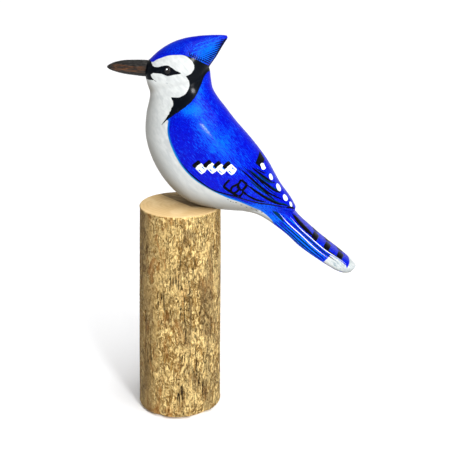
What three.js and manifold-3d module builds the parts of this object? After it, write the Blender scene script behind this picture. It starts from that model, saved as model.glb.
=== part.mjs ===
// A carved and painted wooden blue jay that lies with its belly on an upright length of peeled log.
// Millimetres, +Z up. The origin is the centre of the log's flat underside.
// The bill points towards -X, the tail towards +X and down. The figure's middle plane is Y = 0.

import * as THREE from "three";
import { mergeVertices } from "three/addons/utils/BufferGeometryUtils.js";
import Module from "manifold-3d";

const wasm = await Module();
wasm.setup();

// Log
const POST_HEIGHT = 150;
const POST_TOP_RADIUS = 28;
const POST_FOOT_RADIUS = 29.9;
const POST_LEAN = 2.3; // how far the top's centre stands from the foot's, towards the tail
const POST_FOOT_BEVEL = 2;
const POST_TOP_EASE = 0.6;
const POST_UNEVEN = 0.3; // how far the round of the log wanders in and out
const POST_SIDES = 40;
const POST_RINGS = 6;
const CHIPS = [
  { azimuth: -58, width: 17, height: 9, depth: 2.6 },
  { azimuth: -116, width: 8, height: 5, depth: 1.6 },
];

// Bird, measured from the centre of the log's top
const GAP = 0.3; // between pieces that touch
const WING_RISE = 0.9; // how far the wings stand out of the flank
const WING_SINK = 2.4; // how deep they are let into it
const EYE = { x: -5.5, z: 93.2, radius: 3, side: 11.7 };
const EYE_FLAT = 0.9; // the dome's depth against its height
const BODY_RINGS = 28;
const BODY_SIDES = 28;
const HEAD_RINGS = 22;
const HEAD_SIDES = 26;
const TAIL_RINGS = 22;
const TAIL_SIDES = 20;
const BILL_RINGS = 10;
const BILL_SIDES = 12;
const EYE_SIDES = 14;
const EYE_RINGS = 8;
const TAIL_SLOPE = 42; // degrees below the level
const TAIL_WIDE = 14.5; // half the width of the tail blade
const TAIL_OVER = 6.1; // from the blade's widest line up to its top
const TAIL_UNDER = 5.4; // and down to its underside near the end
const TAIL_TIP_RUN = 19; // length of the rounded end
const TAIL_TIP_THIN = 0.45; // share of the blade's upper half lost at the tip
const TAIL_TIP_LIFT = 0.95; // and of its lower half, so the underside rises to the tip
const TAIL_SQUARE = 3; // superellipse exponent of the blade
const TAIL_END = 120.4; // distance of the tip along the slope, from the frame's centre
const TAIL_LINE = 41; // distance of the blade's widest line from it, square to the slope
const TAIL_CURL = 3; // how far the tip turns up from that line
const TAIL_CURL_START = 84; // where along the slope it starts to
const FAR = 400; // the side of a block that cuts everything on one side of a plane

// A station is a cross-section. top and bottom are [x, z], wide is half its width,
// widest is how high up the widest line lies, from 0 to 1, and square is the
// superellipse exponent, 2 for an ellipse.
const station = (top, bottom, wide, widest, square) => ({ top, bottom, wide, widest, square });

const BODY = [
  station([17, 99], [-17.6, 81], 12, 0.5, 2),
  station([20.6, 92], [-19, 72.5], 14, 0.5, 2),
  station([21.4, 86], [-21.2, 62], 16, 0.5, 2),
  station([22.6, 79.5], [-21.8, 48], 19.5, 0.5, 2.05),
  station([26, 73.3], [-17.4, 31.5], 22.5, 0.5, 2.1),
  station([30.6, 67.2], [-7.6, 15.2], 24, 0.48, 2.15),
  station([37.7, 57.8], [5.6, 3.8], 24.5, 0.46, 2.15),
  station([47.6, 46.2], [21.7, -1.2], 23.5, 0.45, 2.15),
  station([58.8, 31.2], [40.7, -3.2], 20.5, 0.45, 2.1),
  station([67.8, 15], [60, -3.5], 15.5, 0.4, 2.1),
  station([75, 4.8], [71, -4], 11, 0.4, 2.2),
  station([78.6, -1.6], [75.6, -5], 6, 0.5, 2.4),
];

const HEAD = [
  station([-20, 96.6], [-21.4, 88.6], 4.6, 0.45, 2.1),
  station([-17.8, 98.6], [-20.7, 86.4], 7.4, 0.44, 2.1),
  station([-11.3, 104.3], [-18.6, 78.6], 11.4, 0.43, 2.1),
  station([-3.4, 109], [-6.7, 73.6], 14, 0.42, 2.1),
  station([4.9, 111.8], [5.1, 74.3], 14.5, 0.4, 2.1),
  station([13.3, 113.2], [14.3, 82.2], 11.6, 0.38, 2),
  station([20.9, 113.8], [20.2, 93.2], 6.8, 0.42, 2),
  station([27.3, 113.9], [25.4, 100.8], 3.7, 0.5, 2),
  station([31, 113.7], [29.2, 107.2], 2, 0.5, 2),
  station([32.4, 113.1], [32, 111.4], 0.9, 0.5, 2),
];

const BILL = [
  station([-45.6, 94], [-45.6, 93], 0.5, 0.5, 2),
  station([-44, 95.1], [-44, 91.8], 1.4, 0.5, 2),
  station([-40.4, 96.6], [-40.4, 90.4], 2.5, 0.5, 2),
  station([-35, 97.7], [-35, 89], 3.5, 0.5, 2),
  station([-28, 98], [-28, 88], 4.3, 0.5, 2),
  station([-20, 97.8], [-20, 87.2], 5, 0.5, 2),
  station([-15, 97], [-15, 87.6], 4.8, 0.5, 2),
];

// The side view of a wing, [x, z]: shoulder, back edge down to the tip, then the lower edge forward.
const WING_OUTLINE = [
  [-5.8, 62],
  [1.7, 67.5],
  [12.6, 70.6],
  [21.5, 67.5],
  [31, 57.5],
  [42, 43],
  [53.5, 26],
  [63, 11.5],
  [70.9, 2.6],
  [77.6, -1.4],
  [75.6, -3.4],
  [72, -1.2],
  [61.5, 4.2],
  [47, 8.5],
  [34.4, 12.6],
  [25, 15.5],
  [16.8, 20.2],
  [10.2, 24.9],
  [4.5, 30.7],
  [0.5, 36.5],
  [-3.2, 43.9],
  [-5.5, 50.3],
  [-6.4, 56.3],
];
const WING_INNER_SIDE = 1.6; // the wings stop this far from the middle plane
const WING_REACH = 40; // and their cutting block runs out past the flank

const PLANES = {
  nape: { point: [0, 83.7], normal: [-0.334, 0.943] },
  shoulder: { point: [0, 69.4], normal: [-0.338, 0.941] },
  crest: { point: [14, 104.6], normal: [0.909, 0.416] },
  rump: { point: [64, -3], normal: [0.743, -0.669] },
  mouth: { point: [-18.3, 91.9], normal: [0.045, 0.999] },
};

const PAINT = {
  blue: new THREE.MeshStandardMaterial({ color: 0x0a2fd0, roughness: 0.35, metalness: 0 }),
  wing: new THREE.MeshStandardMaterial({ color: 0x0b3ce0, roughness: 0.35, metalness: 0 }),
  white: new THREE.MeshStandardMaterial({ color: 0xdcdedf, roughness: 0.4, metalness: 0 }),
  bill: new THREE.MeshStandardMaterial({ color: 0x2b2a2c, roughness: 0.4, metalness: 0 }),
  eye: new THREE.MeshStandardMaterial({ color: 0x0b0b0d, roughness: 0.1, metalness: 0 }),
  log: new THREE.MeshStandardMaterial({ color: 0xb08d5c, roughness: 0.85, metalness: 0 }),
};

// Closed surface through rings of points, each ring a list of Vector3 of the same length.
function skin(rings) {
  const sides = rings[0].length;
  const points = rings.flat();
  const faces = [];
  for (let i = 0; i + 1 < rings.length; i++)
    for (let j = 0; j < sides; j++) {
      const here = i * sides + j;
      const next = i * sides + ((j + 1) % sides);
      faces.push(here, next, here + sides, next, next + sides, here + sides);
    }
  for (const last of [false, true]) {
    const start = last ? (rings.length - 1) * sides : 0;
    const middle = new THREE.Vector3();
    for (let j = 0; j < sides; j++) middle.addScaledVector(points[start + j], 1 / sides);
    const hub = points.push(middle) - 1;
    for (let j = 0; j < sides; j++) {
      const a = start + j;
      const b = start + ((j + 1) % sides);
      faces.push(hub, last ? a : b, last ? b : a);
    }
  }
  return new THREE.BufferGeometry().setFromPoints(points).setIndex(faces);
}

// Point of a cross-section at an angle that starts at its +Y side and turns over its top.
function sectionPoint(section, angle) {
  const power = 2 / section.square;
  const [across, up] = [Math.cos(angle), Math.sin(angle)];
  const side = Math.sign(across) * Math.abs(across) ** power;
  const rise = Math.sign(up) * Math.abs(up) ** power;
  const reach = rise > 0 ? 1 - section.widest : section.widest;
  const height = section.widest + rise * reach;
  const [bottomX, bottomZ] = section.bottom;
  const [topX, topZ] = section.top;
  return new THREE.Vector3(
    bottomX + height * (topX - bottomX),
    side * section.wide,
    bottomZ + height * (topZ - bottomZ),
  );
}

// Stations moved out by a distance, or in where it is negative, never past their own middle.
function grown(stations, by) {
  const least = 0.15;
  return stations.map((s) => {
    const top = new THREE.Vector2(...s.top);
    const bottom = new THREE.Vector2(...s.bottom);
    const up = top.clone().sub(bottom);
    const half = up.length() / 2;
    const step = Math.max(by, least - half);
    up.normalize().multiplyScalar(step);
    return {
      ...s,
      top: top.add(up).toArray(),
      bottom: bottom.sub(up).toArray(),
      wide: Math.max(s.wide + by, least),
    };
  });
}

// Smooth form through stations, with rings spaced evenly between the first and the last.
function loft(stations, ringCount, sides) {
  const smooth = (pick) => new THREE.CatmullRomCurve3(stations.map(pick), false, "centripetal");
  const plain = (pick) => new THREE.CatmullRomCurve3(stations.map(pick), false, "catmullrom", 0.5);
  const tops = smooth((s) => new THREE.Vector3(s.top[0], 0, s.top[1]));
  const bottoms = smooth((s) => new THREE.Vector3(s.bottom[0], 0, s.bottom[1]));
  const shapes = plain((s) => new THREE.Vector3(s.wide, s.widest, s.square));
  const rings = [];
  for (let i = 0; i <= ringCount; i++) {
    const t = i / ringCount;
    const top = tops.getPoint(t);
    const bottom = bottoms.getPoint(t);
    const shape = shapes.getPoint(t);
    const section = station([top.x, top.z], [bottom.x, bottom.z], shape.x, shape.y, shape.z);
    rings.push(
      Array.from({ length: sides }, (_, j) => sectionPoint(section, (2 * Math.PI * j) / sides)),
    );
  }
  return skin(rings);
}

// Tail blade: from inside the rump along the slope, then round in plan at its end.
function tailStations() {
  const slope = THREE.MathUtils.degToRad(TAIL_SLOPE);
  const along = new THREE.Vector2(Math.cos(slope), -Math.sin(slope));
  const out = new THREE.Vector2(Math.sin(slope), Math.cos(slope));
  const place = (run, lift) => {
    const bent = Math.max(0, (run - TAIL_CURL_START) / (TAIL_END - TAIL_CURL_START));
    const height = TAIL_LINE + lift + TAIL_CURL * bent * bent;
    return [along.x * run + out.x * height, along.y * run + out.y * height];
  };
  const stations = [
    station([60, 12], [38, -2.5], 14, 0.4, 2.2),
    station([69, 3], [50, -4.4], 14, 0.4, 2.4),
    station([77.5, -4.5], [58.6, -9], 13.4, 0.4, 2.7),
    station(place(68, 6.4), place(66, -7.2), 13.6, 0.42, 2.9),
  ];
  for (const [run, under] of [
    [78, 7.4],
    [90, 6.4],
    [TAIL_END - TAIL_TIP_RUN, TAIL_UNDER],
  ])
    stations.push(station(place(run, TAIL_OVER), place(run, -under), TAIL_WIDE, 0.4, TAIL_SQUARE));
  for (const turn of [0.3, 0.55, 0.78, 0.92, 1]) {
    const run = TAIL_END - TAIL_TIP_RUN * (1 - Math.sin((turn * Math.PI) / 2));
    const wide = Math.max(TAIL_WIDE * Math.cos((turn * Math.PI) / 2), 1.6);
    const over = TAIL_OVER * (1 - TAIL_TIP_THIN * turn * turn);
    const under = TAIL_UNDER * (1 - TAIL_TIP_LIFT * turn * turn);
    const square = TAIL_SQUARE - 0.7 * turn;
    stations.push(station(place(run, over), place(run, -under), wide, 0.4, square));
  }
  return stations;
}

// Manifold solid of a closed three.js geometry.
function solid(geometry) {
  const bare = geometry.clone();
  bare.deleteAttribute("normal");
  bare.deleteAttribute("uv");
  const merged = mergeVertices(bare, 1e-4);
  return new wasm.Manifold(
    new wasm.Mesh({
      numProp: 3,
      vertProperties: new Float32Array(merged.attributes.position.array),
      triVerts: new Uint32Array(merged.index.array),
    }),
  );
}

// Named mesh of a solid's largest closed body.
function piece(name, whole, material) {
  const bodies = whole.decompose();
  bodies.sort((a, b) => b.volume() - a.volume());
  const mesh = bodies[0].getMesh();
  const geometry = new THREE.BufferGeometry();
  geometry.setAttribute("position", new THREE.BufferAttribute(mesh.vertProperties, 3));
  geometry.setIndex(new THREE.BufferAttribute(mesh.triVerts, 1));
  geometry.computeVertexNormals();
  const made = new THREE.Mesh(geometry, material);
  made.name = name;
  return made;
}

// Block that holds all on the normal's side of a plane, moved along the normal by shift.
function side(plane, sign, shift = GAP / 2) {
  const normal = new THREE.Vector3(plane.normal[0], 0, plane.normal[1]).normalize();
  normal.multiplyScalar(sign);
  const block = new THREE.BoxGeometry(FAR, FAR, FAR);
  block.applyQuaternion(
    new THREE.Quaternion().setFromUnitVectors(new THREE.Vector3(0, 0, 1), normal),
  );
  const centre = new THREE.Vector3(plane.point[0], 0, plane.point[1]);
  centre.addScaledVector(normal, FAR / 2 + shift);
  block.translate(...centre);
  return solid(block);
}

// Block with the wing's side view, grown by a margin, on one side of the middle plane.
function wingBlock(sign, margin) {
  const points = WING_OUTLINE.map(([x, z]) => new THREE.Vector2(x, z));
  const grownPoints = points.map((p, i) => {
    const before = p.clone().sub(points[(i + points.length - 1) % points.length]).normalize();
    const after = points[(i + 1) % points.length].clone().sub(p).normalize();
    const along = before.clone().add(after).normalize();
    const out = new THREE.Vector2(-along.y, along.x);
    return p.clone().add(out.multiplyScalar(margin / along.dot(after)));
  });
  const inner = WING_INNER_SIDE - margin;
  const block = new THREE.ExtrudeGeometry(new THREE.Shape(grownPoints), {
    depth: WING_REACH - inner,
    bevelEnabled: false,
  });
  block.rotateX(Math.PI / 2);
  block.translate(0, sign > 0 ? WING_REACH : -inner, 0);
  return solid(block);
}

// The log: a leaning, slightly uneven round with a bevelled foot and two chips knocked out of it.
function logSolid() {
  const rise = (i) => POST_FOOT_BEVEL + ((POST_HEIGHT - POST_TOP_EASE - POST_FOOT_BEVEL) * i) / POST_RINGS;
  const heights = [0, ...Array.from({ length: POST_RINGS + 1 }, (_, i) => rise(i)), POST_HEIGHT];
  const rings = heights.map((height, i) => {
    const share = height / POST_HEIGHT;
    let radius = THREE.MathUtils.lerp(POST_FOOT_RADIUS, POST_TOP_RADIUS, share);
    if (i === 0) radius -= POST_FOOT_BEVEL;
    if (i === heights.length - 1) radius -= POST_TOP_EASE;
    return Array.from({ length: POST_SIDES }, (_, j) => {
      const turn = (2 * Math.PI * j) / POST_SIDES;
      const wander = Math.sin(2 * turn + 3 * share) * 0.6 + Math.sin(3 * turn - 5 * share) * 0.4;
      const reach = radius - POST_UNEVEN + POST_UNEVEN * wander;
      return new THREE.Vector3(
        POST_LEAN * share + reach * Math.cos(turn),
        reach * Math.sin(turn),
        height,
      );
    });
  });
  let log = solid(skin(rings));
  for (const chip of CHIPS) {
    const cutter = new THREE.IcosahedronGeometry(1, 2);
    cutter.scale(chip.depth, chip.width / 2, chip.height);
    cutter.translate(POST_FOOT_RADIUS, 0, 0);
    cutter.rotateZ(THREE.MathUtils.degToRad(chip.azimuth));
    log = log.subtract(solid(cutter));
  }
  return log;
}

// Dome of an eye, or of its socket when margin is more than nothing.
function eyeSolid(sign, margin) {
  const ball = new THREE.SphereGeometry(EYE.radius + margin, EYE_SIDES, EYE_RINGS);
  ball.rotateX(Math.PI / 2);
  ball.scale(1, EYE_FLAT, 1);
  ball.translate(EYE.x, sign * EYE.side, EYE.z);
  return solid(ball);
}

const bird = new THREE.Group();
bird.position.set(POST_LEAN, 0, POST_HEIGHT);

const trunk = solid(loft(BODY, BODY_RINGS, BODY_SIDES));
const skull = solid(loft(HEAD, HEAD_RINGS, HEAD_SIDES));
const blade = solid(loft(tailStations(), TAIL_RINGS, TAIL_SIDES));

// The belly is cut flat where it lies on the log.
const seat = new THREE.CylinderGeometry(POST_TOP_RADIUS + GAP, POST_TOP_RADIUS + GAP, 60, POST_SIDES);
seat.rotateX(Math.PI / 2);
seat.translate(0, 0, GAP - 30);

let whole = trunk.add(skull).add(blade).subtract(solid(seat));
const outside = solid(loft(grown(BODY, WING_RISE), BODY_RINGS, BODY_SIDES));
const inside = solid(loft(grown(BODY, -WING_SINK), BODY_RINGS, BODY_SIDES));
const pocketFloor = solid(loft(grown(BODY, -WING_SINK - GAP), BODY_RINGS, BODY_SIDES));
const wings = new Map();
for (const [name, sign] of [["wing_left", -1], ["wing_right", 1]]) {
  wings.set(name, outside.intersect(wingBlock(sign, 0)).subtract(inside));
  whole = whole.subtract(wingBlock(sign, GAP).subtract(pocketFloor));
}

const billForm = solid(loft(BILL, BILL_RINGS, BILL_SIDES));
whole = whole.subtract(solid(loft(grown(BILL, GAP), BILL_RINGS, BILL_SIDES)).add(billForm));
for (const sign of [-1, 1]) whole = whole.subtract(eyeSolid(sign, GAP));

const above = (plane) => side(PLANES[plane], 1);
const below = (plane) => side(PLANES[plane], -1);
const overNape = whole.intersect(above("nape"));
const underShoulder = whole.intersect(below("shoulder"));

bird.add(piece("torso", underShoulder.intersect(below("rump")), PAINT.white));
bird.add(piece("neck", whole.intersect(above("shoulder")).intersect(below("nape")), PAINT.white));
bird.add(piece("head", overNape.intersect(below("crest")), PAINT.white));
bird.add(piece("crest", overNape.intersect(above("crest")), PAINT.blue));
bird.add(piece("tail", underShoulder.intersect(above("rump")), PAINT.blue));
bird.add(piece("bill_upper", billForm.intersect(above("mouth")), PAINT.bill));
bird.add(piece("bill_lower", billForm.intersect(below("mouth")), PAINT.bill));
for (const [name, form] of wings) bird.add(piece(name, form, PAINT.wing));
for (const [name, sign] of [["eye_left", -1], ["eye_right", 1]])
  bird.add(piece(name, eyeSolid(sign, 0), PAINT.eye));

const figure = new THREE.Group();
figure.add(piece("post", logSolid(), PAINT.log));
figure.add(bird);

export default figure;
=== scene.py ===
"""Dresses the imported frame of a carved, painted wooden blue jay that lies on a peeled log.

Sizes are millimetres from the centre of the log's top, the bird's own frame, with -X towards the
bill and +X towards the tail. They become metres in the row's frame when a mesh is made.
"""
import logging
import math
from collections.abc import Sequence
from dataclasses import dataclass, field
from enum import Enum

import bpy
import numpy as np
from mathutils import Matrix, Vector
from mathutils.bvhtree import BVHTree


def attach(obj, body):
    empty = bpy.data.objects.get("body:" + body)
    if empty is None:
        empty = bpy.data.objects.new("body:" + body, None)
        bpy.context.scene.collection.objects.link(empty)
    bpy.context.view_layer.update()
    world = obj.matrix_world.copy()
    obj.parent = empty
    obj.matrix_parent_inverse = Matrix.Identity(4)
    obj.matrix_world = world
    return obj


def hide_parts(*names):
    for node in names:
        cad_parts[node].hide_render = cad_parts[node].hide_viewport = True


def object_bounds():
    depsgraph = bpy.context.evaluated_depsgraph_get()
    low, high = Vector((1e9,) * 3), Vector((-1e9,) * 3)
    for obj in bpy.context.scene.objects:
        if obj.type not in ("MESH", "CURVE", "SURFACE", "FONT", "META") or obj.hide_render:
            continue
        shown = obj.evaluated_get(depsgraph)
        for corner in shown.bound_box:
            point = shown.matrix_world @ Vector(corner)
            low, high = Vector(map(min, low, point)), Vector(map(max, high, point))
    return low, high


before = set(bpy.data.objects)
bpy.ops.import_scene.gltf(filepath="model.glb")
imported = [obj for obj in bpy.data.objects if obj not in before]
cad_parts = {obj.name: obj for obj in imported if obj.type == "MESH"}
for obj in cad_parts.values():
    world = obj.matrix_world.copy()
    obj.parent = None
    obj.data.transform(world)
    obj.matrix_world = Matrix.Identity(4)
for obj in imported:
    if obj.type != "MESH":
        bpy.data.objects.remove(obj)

CAD_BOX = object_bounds()
MM = 0.001
LOG = logging.getLogger("jay")

Pair = tuple[float, float]
Triple = tuple[float, float, float]
Colour = tuple[float, float, float]
Faces = list[tuple[int, ...]]

# The points of a stroke, and its width.
Line = tuple[tuple[Pair, ...], float]

PERCH_HEIGHT = 150.0
PERCH_LEAN = 2.3
LEVEL = (0.0, 0.0, 0.0)

# The least that a squared length, a gap in millimetres and a radius in metres are divided by.
LEAST = 1e-9
LEAST_GAP = 1e-4
LEAST_REACH = 1e-6


def rgba(colour: Colour) -> tuple[float, float, float, float]:
    """The colour with full alpha."""
    return (*colour, 1.0)


def between(start: Pair, end: Pair, share: float) -> Pair:
    """The point at a share of the way from start to end."""
    return (start[0] + (end[0] - start[0]) * share, start[1] + (end[1] - start[1]) * share)


def fade(values: np.ndarray, none: float, full: float) -> np.ndarray:
    """0 at none, 1 at full, and even between them."""
    return np.clip((values - none) / (full - none), 0.0, 1.0)


def perch(points: np.ndarray) -> np.ndarray:
    """Bird frame millimetres to row frame metres.

    Args:
        points: Rows of x, y, z in the bird's frame.

    Returns:
        The same rows in the row's frame, in metres.
    """
    return (np.asarray(points, float) + (PERCH_LEAN, 0.0, PERCH_HEIGHT)) * MM


class Wire:
    """A value socket with arithmetic, where each operator adds one Math node."""

    def __init__(self, bench: "Bench", socket: bpy.types.NodeSocket) -> None:
        """Wraps a socket of the bench's tree."""
        self.bench = bench
        self.socket = socket

    def _math(self, operation: str, left: "Wire | float", right: "Wire | float") -> "Wire":
        """A Math node on two values."""
        return self.bench.node("ShaderNodeMath", {"operation": operation}, {0: left, 1: right})

    def __add__(self, other: "Wire | float") -> "Wire":
        """self + other."""
        return self._math("ADD", self, other)

    def __radd__(self, other: float) -> "Wire":
        """other + self."""
        return self._math("ADD", other, self)

    def __sub__(self, other: "Wire | float") -> "Wire":
        """self - other."""
        return self._math("SUBTRACT", self, other)

    def __rsub__(self, other: float) -> "Wire":
        """other - self."""
        return self._math("SUBTRACT", other, self)

    def __mul__(self, other: "Wire | float") -> "Wire":
        """self * other."""
        return self._math("MULTIPLY", self, other)

    def __rmul__(self, other: float) -> "Wire":
        """other * self."""
        return self._math("MULTIPLY", other, self)

    def __truediv__(self, other: "Wire | float") -> "Wire":
        """self / other."""
        return self._math("DIVIDE", self, other)

    def __rtruediv__(self, other: float) -> "Wire":
        """other / self."""
        return self._math("DIVIDE", other, self)

    def least(self, other: "Wire | float") -> "Wire":
        """The smaller of the two."""
        return self._math("MINIMUM", self, other)

    def most(self, other: "Wire | float") -> "Wire":
        """The larger of the two."""
        return self._math("MAXIMUM", self, other)

    def clamp(self) -> "Wire":
        """self held between 0 and 1."""
        return self.least(1.0).most(0.0)

    def ramp(self, low: float, high: float) -> "Wire":
        """Smooth step from 0 at low to 1 at high."""
        return self.bench.node(
            "ShaderNodeMapRange",
            {"interpolation_type": "SMOOTHSTEP"},
            {"Value": self, "From Min": low, "From Max": high},
        )


class Arrow(Wire):
    """A vector socket with arithmetic, where each operator adds one Vector Math node."""

    def _vector(self, operation: str, left: "Arrow | Triple", right: "Arrow | Triple") -> "Arrow":
        """A Vector Math node on two vectors."""
        return self.bench.node(
            "ShaderNodeVectorMath", {"operation": operation}, {0: left, 1: right}, kind=Arrow
        )

    def __add__(self, other: "Arrow | Triple") -> "Arrow":
        """self + other."""
        return self._vector("ADD", self, other)

    def __sub__(self, other: "Arrow | Triple") -> "Arrow":
        """self - other."""
        return self._vector("SUBTRACT", self, other)

    def __mul__(self, other: "Arrow | Triple") -> "Arrow":
        """self times other, axis by axis."""
        return self._vector("MULTIPLY", self, other)

    def scaled(self, by: "Wire | float") -> "Arrow":
        """self times a value."""
        return self.bench.node(
            "ShaderNodeVectorMath", {"operation": "SCALE"}, {0: self, "Scale": by}, kind=Arrow
        )

    def dot(self, other: "Arrow | Triple") -> Wire:
        """The dot product."""
        return self.bench.node(
            "ShaderNodeVectorMath", {"operation": "DOT_PRODUCT"}, {0: self, 1: other}, out="Value"
        )

    def axis(self, name: str) -> Wire:
        """One of X, Y and Z."""
        return self.bench.node("ShaderNodeSeparateXYZ", {}, {0: self}, out=name)


Link = Wire | float | int | bool | str | tuple | bpy.types.ID


@dataclass(frozen=True)
class Grain:
    """A pattern of noise: cells to the metre along each axis, detail, roughness and warp."""

    cells: Triple
    detail: float = 2.0
    rough: float = 0.5
    warp: float = 0.0


class Bench:
    """Adds nodes to one tree."""

    def __init__(self, tree: bpy.types.NodeTree) -> None:
        """Works on a shader or geometry node tree."""
        self.tree = tree

    def add(
        self, kind: str, settings: dict[str, object], sockets: dict[int | str, Link]
    ) -> bpy.types.Node:
        """Adds a node.

        Args:
            kind: The node's type name.
            settings: Properties of the node, set first.
            sockets: Values or wires for its inputs, by name or place.

        Returns:
            The node.
        """
        made = self.tree.nodes.new(kind)
        for name, value in settings.items():
            setattr(made, name, value)
        for key, value in sockets.items():
            self.plug(value, made.inputs[key])
        return made

    def plug(self, value: Link, socket: bpy.types.NodeSocket) -> None:
        """Links a wire to a socket, or sets the socket's own value.

        Args:
            value: The wire, or the plain value.
            socket: The input that takes it.
        """
        if isinstance(value, Wire):
            self.tree.links.new(value.socket, socket)
        else:
            socket.default_value = value

    def node(
        self,
        type_name: str,
        settings: dict[str, object],
        sockets: dict[int | str, Link],
        out: int | str = 0,
        kind: type[Wire] = Wire,
    ) -> Wire:
        """Adds a node and wraps one of its outputs.

        Args:
            type_name: The node's type name.
            settings: Properties of the node, set first.
            sockets: Values or wires for its inputs.
            out: The output to wrap, by name or place.
            kind: Wire, or Arrow for a vector.

        Returns:
            The wrapped output.
        """
        return kind(self, self.add(type_name, settings, sockets).outputs[out])

    def noise(self, where: Arrow, grain: Grain) -> Wire:
        """Noise from 0 to 1 at places that are already counted in the grain's cells."""
        sockets = {"Vector": where, "Scale": 1.0, "Detail": grain.detail, "Roughness": grain.rough}
        return self.node("ShaderNodeTexNoise", {}, sockets | {"Distortion": grain.warp})

    def grain(self, grain: Grain, turn: Triple = LEVEL) -> Wire:
        """Noise from 0 to 1 on Object coordinates that are turned by degrees."""
        return self.noise(self.place(grain.cells, turn), grain)

    def mix(self, share: Link, first: Link, second: Link) -> Wire:
        """A colour mixed from two."""
        return self.node("ShaderNodeMix", {"data_type": "RGBA"}, {0: share, 6: first, 7: second}, out=2)

    def attribute(self, name: str) -> Wire:
        """A value stored on the mesh."""
        return self.node("ShaderNodeAttribute", {"attribute_name": name}, {}, out="Fac")

    def place(self, stretch: Triple = (1.0, 1.0, 1.0), turn: Triple = LEVEL) -> Arrow:
        """Object coordinates, turned and then stretched.

        Args:
            stretch: A factor for each axis.
            turn: Degrees about each axis.

        Returns:
            The place.
        """
        where = self.node("ShaderNodeTexCoord", {}, {}, out="Object")
        angles = tuple(math.radians(angle) for angle in turn)
        turned = self.node("ShaderNodeMapping", {}, {"Vector": where, "Rotation": angles})
        return self.node("ShaderNodeMapping", {}, {"Vector": turned, "Scale": stretch}, kind=Arrow)


@dataclass(frozen=True)
class Layer:
    """A colour that comes up over another as a pattern runs through a band of its values."""

    colour: Colour
    band: Pair
    strength: float = 1.0

    def over(self, under: Link, bench: Bench, pattern: Wire, share: Wire | float = 1.0) -> Wire:
        """Lays the colour.

        Args:
            under: The colour below.
            bench: Where the nodes go.
            pattern: What the band is read on.
            share: How much of the layer is let through.

        Returns:
            The colour with the layer on it.
        """
        cover = pattern.ramp(*self.band) * (share * self.strength)
        return bench.mix(cover, under, rgba(self.colour))


@dataclass(frozen=True)
class Gloss:
    """How a varnished surface shines."""

    coat: float
    coat_rough: float
    mirror: float


Painted = tuple[Link, Link, Wire | None]


class Finish:
    """A material built in nodes; a subclass paints its colour, roughness and relief."""

    name: str
    gloss: Gloss

    def paint(self, bench: Bench) -> Painted:
        """Colour, roughness and relief height in millimetres, of which relief may be None."""
        raise NotImplementedError

    def material(self) -> bpy.types.Material:
        """Builds the material, or finds the one built before.

        Returns:
            The material.
        """
        known = bpy.data.materials.get(self.name)
        if known:
            return known
        made = bpy.data.materials.new(self.name)
        made.use_nodes = True
        made.node_tree.nodes.clear()
        bench = Bench(made.node_tree)
        colour, rough, relief = self.paint(bench)
        sockets: dict[int | str, Link] = {
            "Base Color": colour,
            "Roughness": rough,
            "Coat Weight": self.gloss.coat,
            "Coat Roughness": self.gloss.coat_rough,
            "Specular IOR Level": self.gloss.mirror,
        }
        if relief is not None:
            bumped = {"Height": relief * MM, "Distance": 1.0, "Strength": 1.0}
            sockets["Normal"] = bench.node("ShaderNodeBump", {}, bumped)
        shader = bench.node("ShaderNodeBsdfPrincipled", {}, sockets)
        bench.add("ShaderNodeOutputMaterial", {}, {"Surface": shader})
        return made


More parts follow.
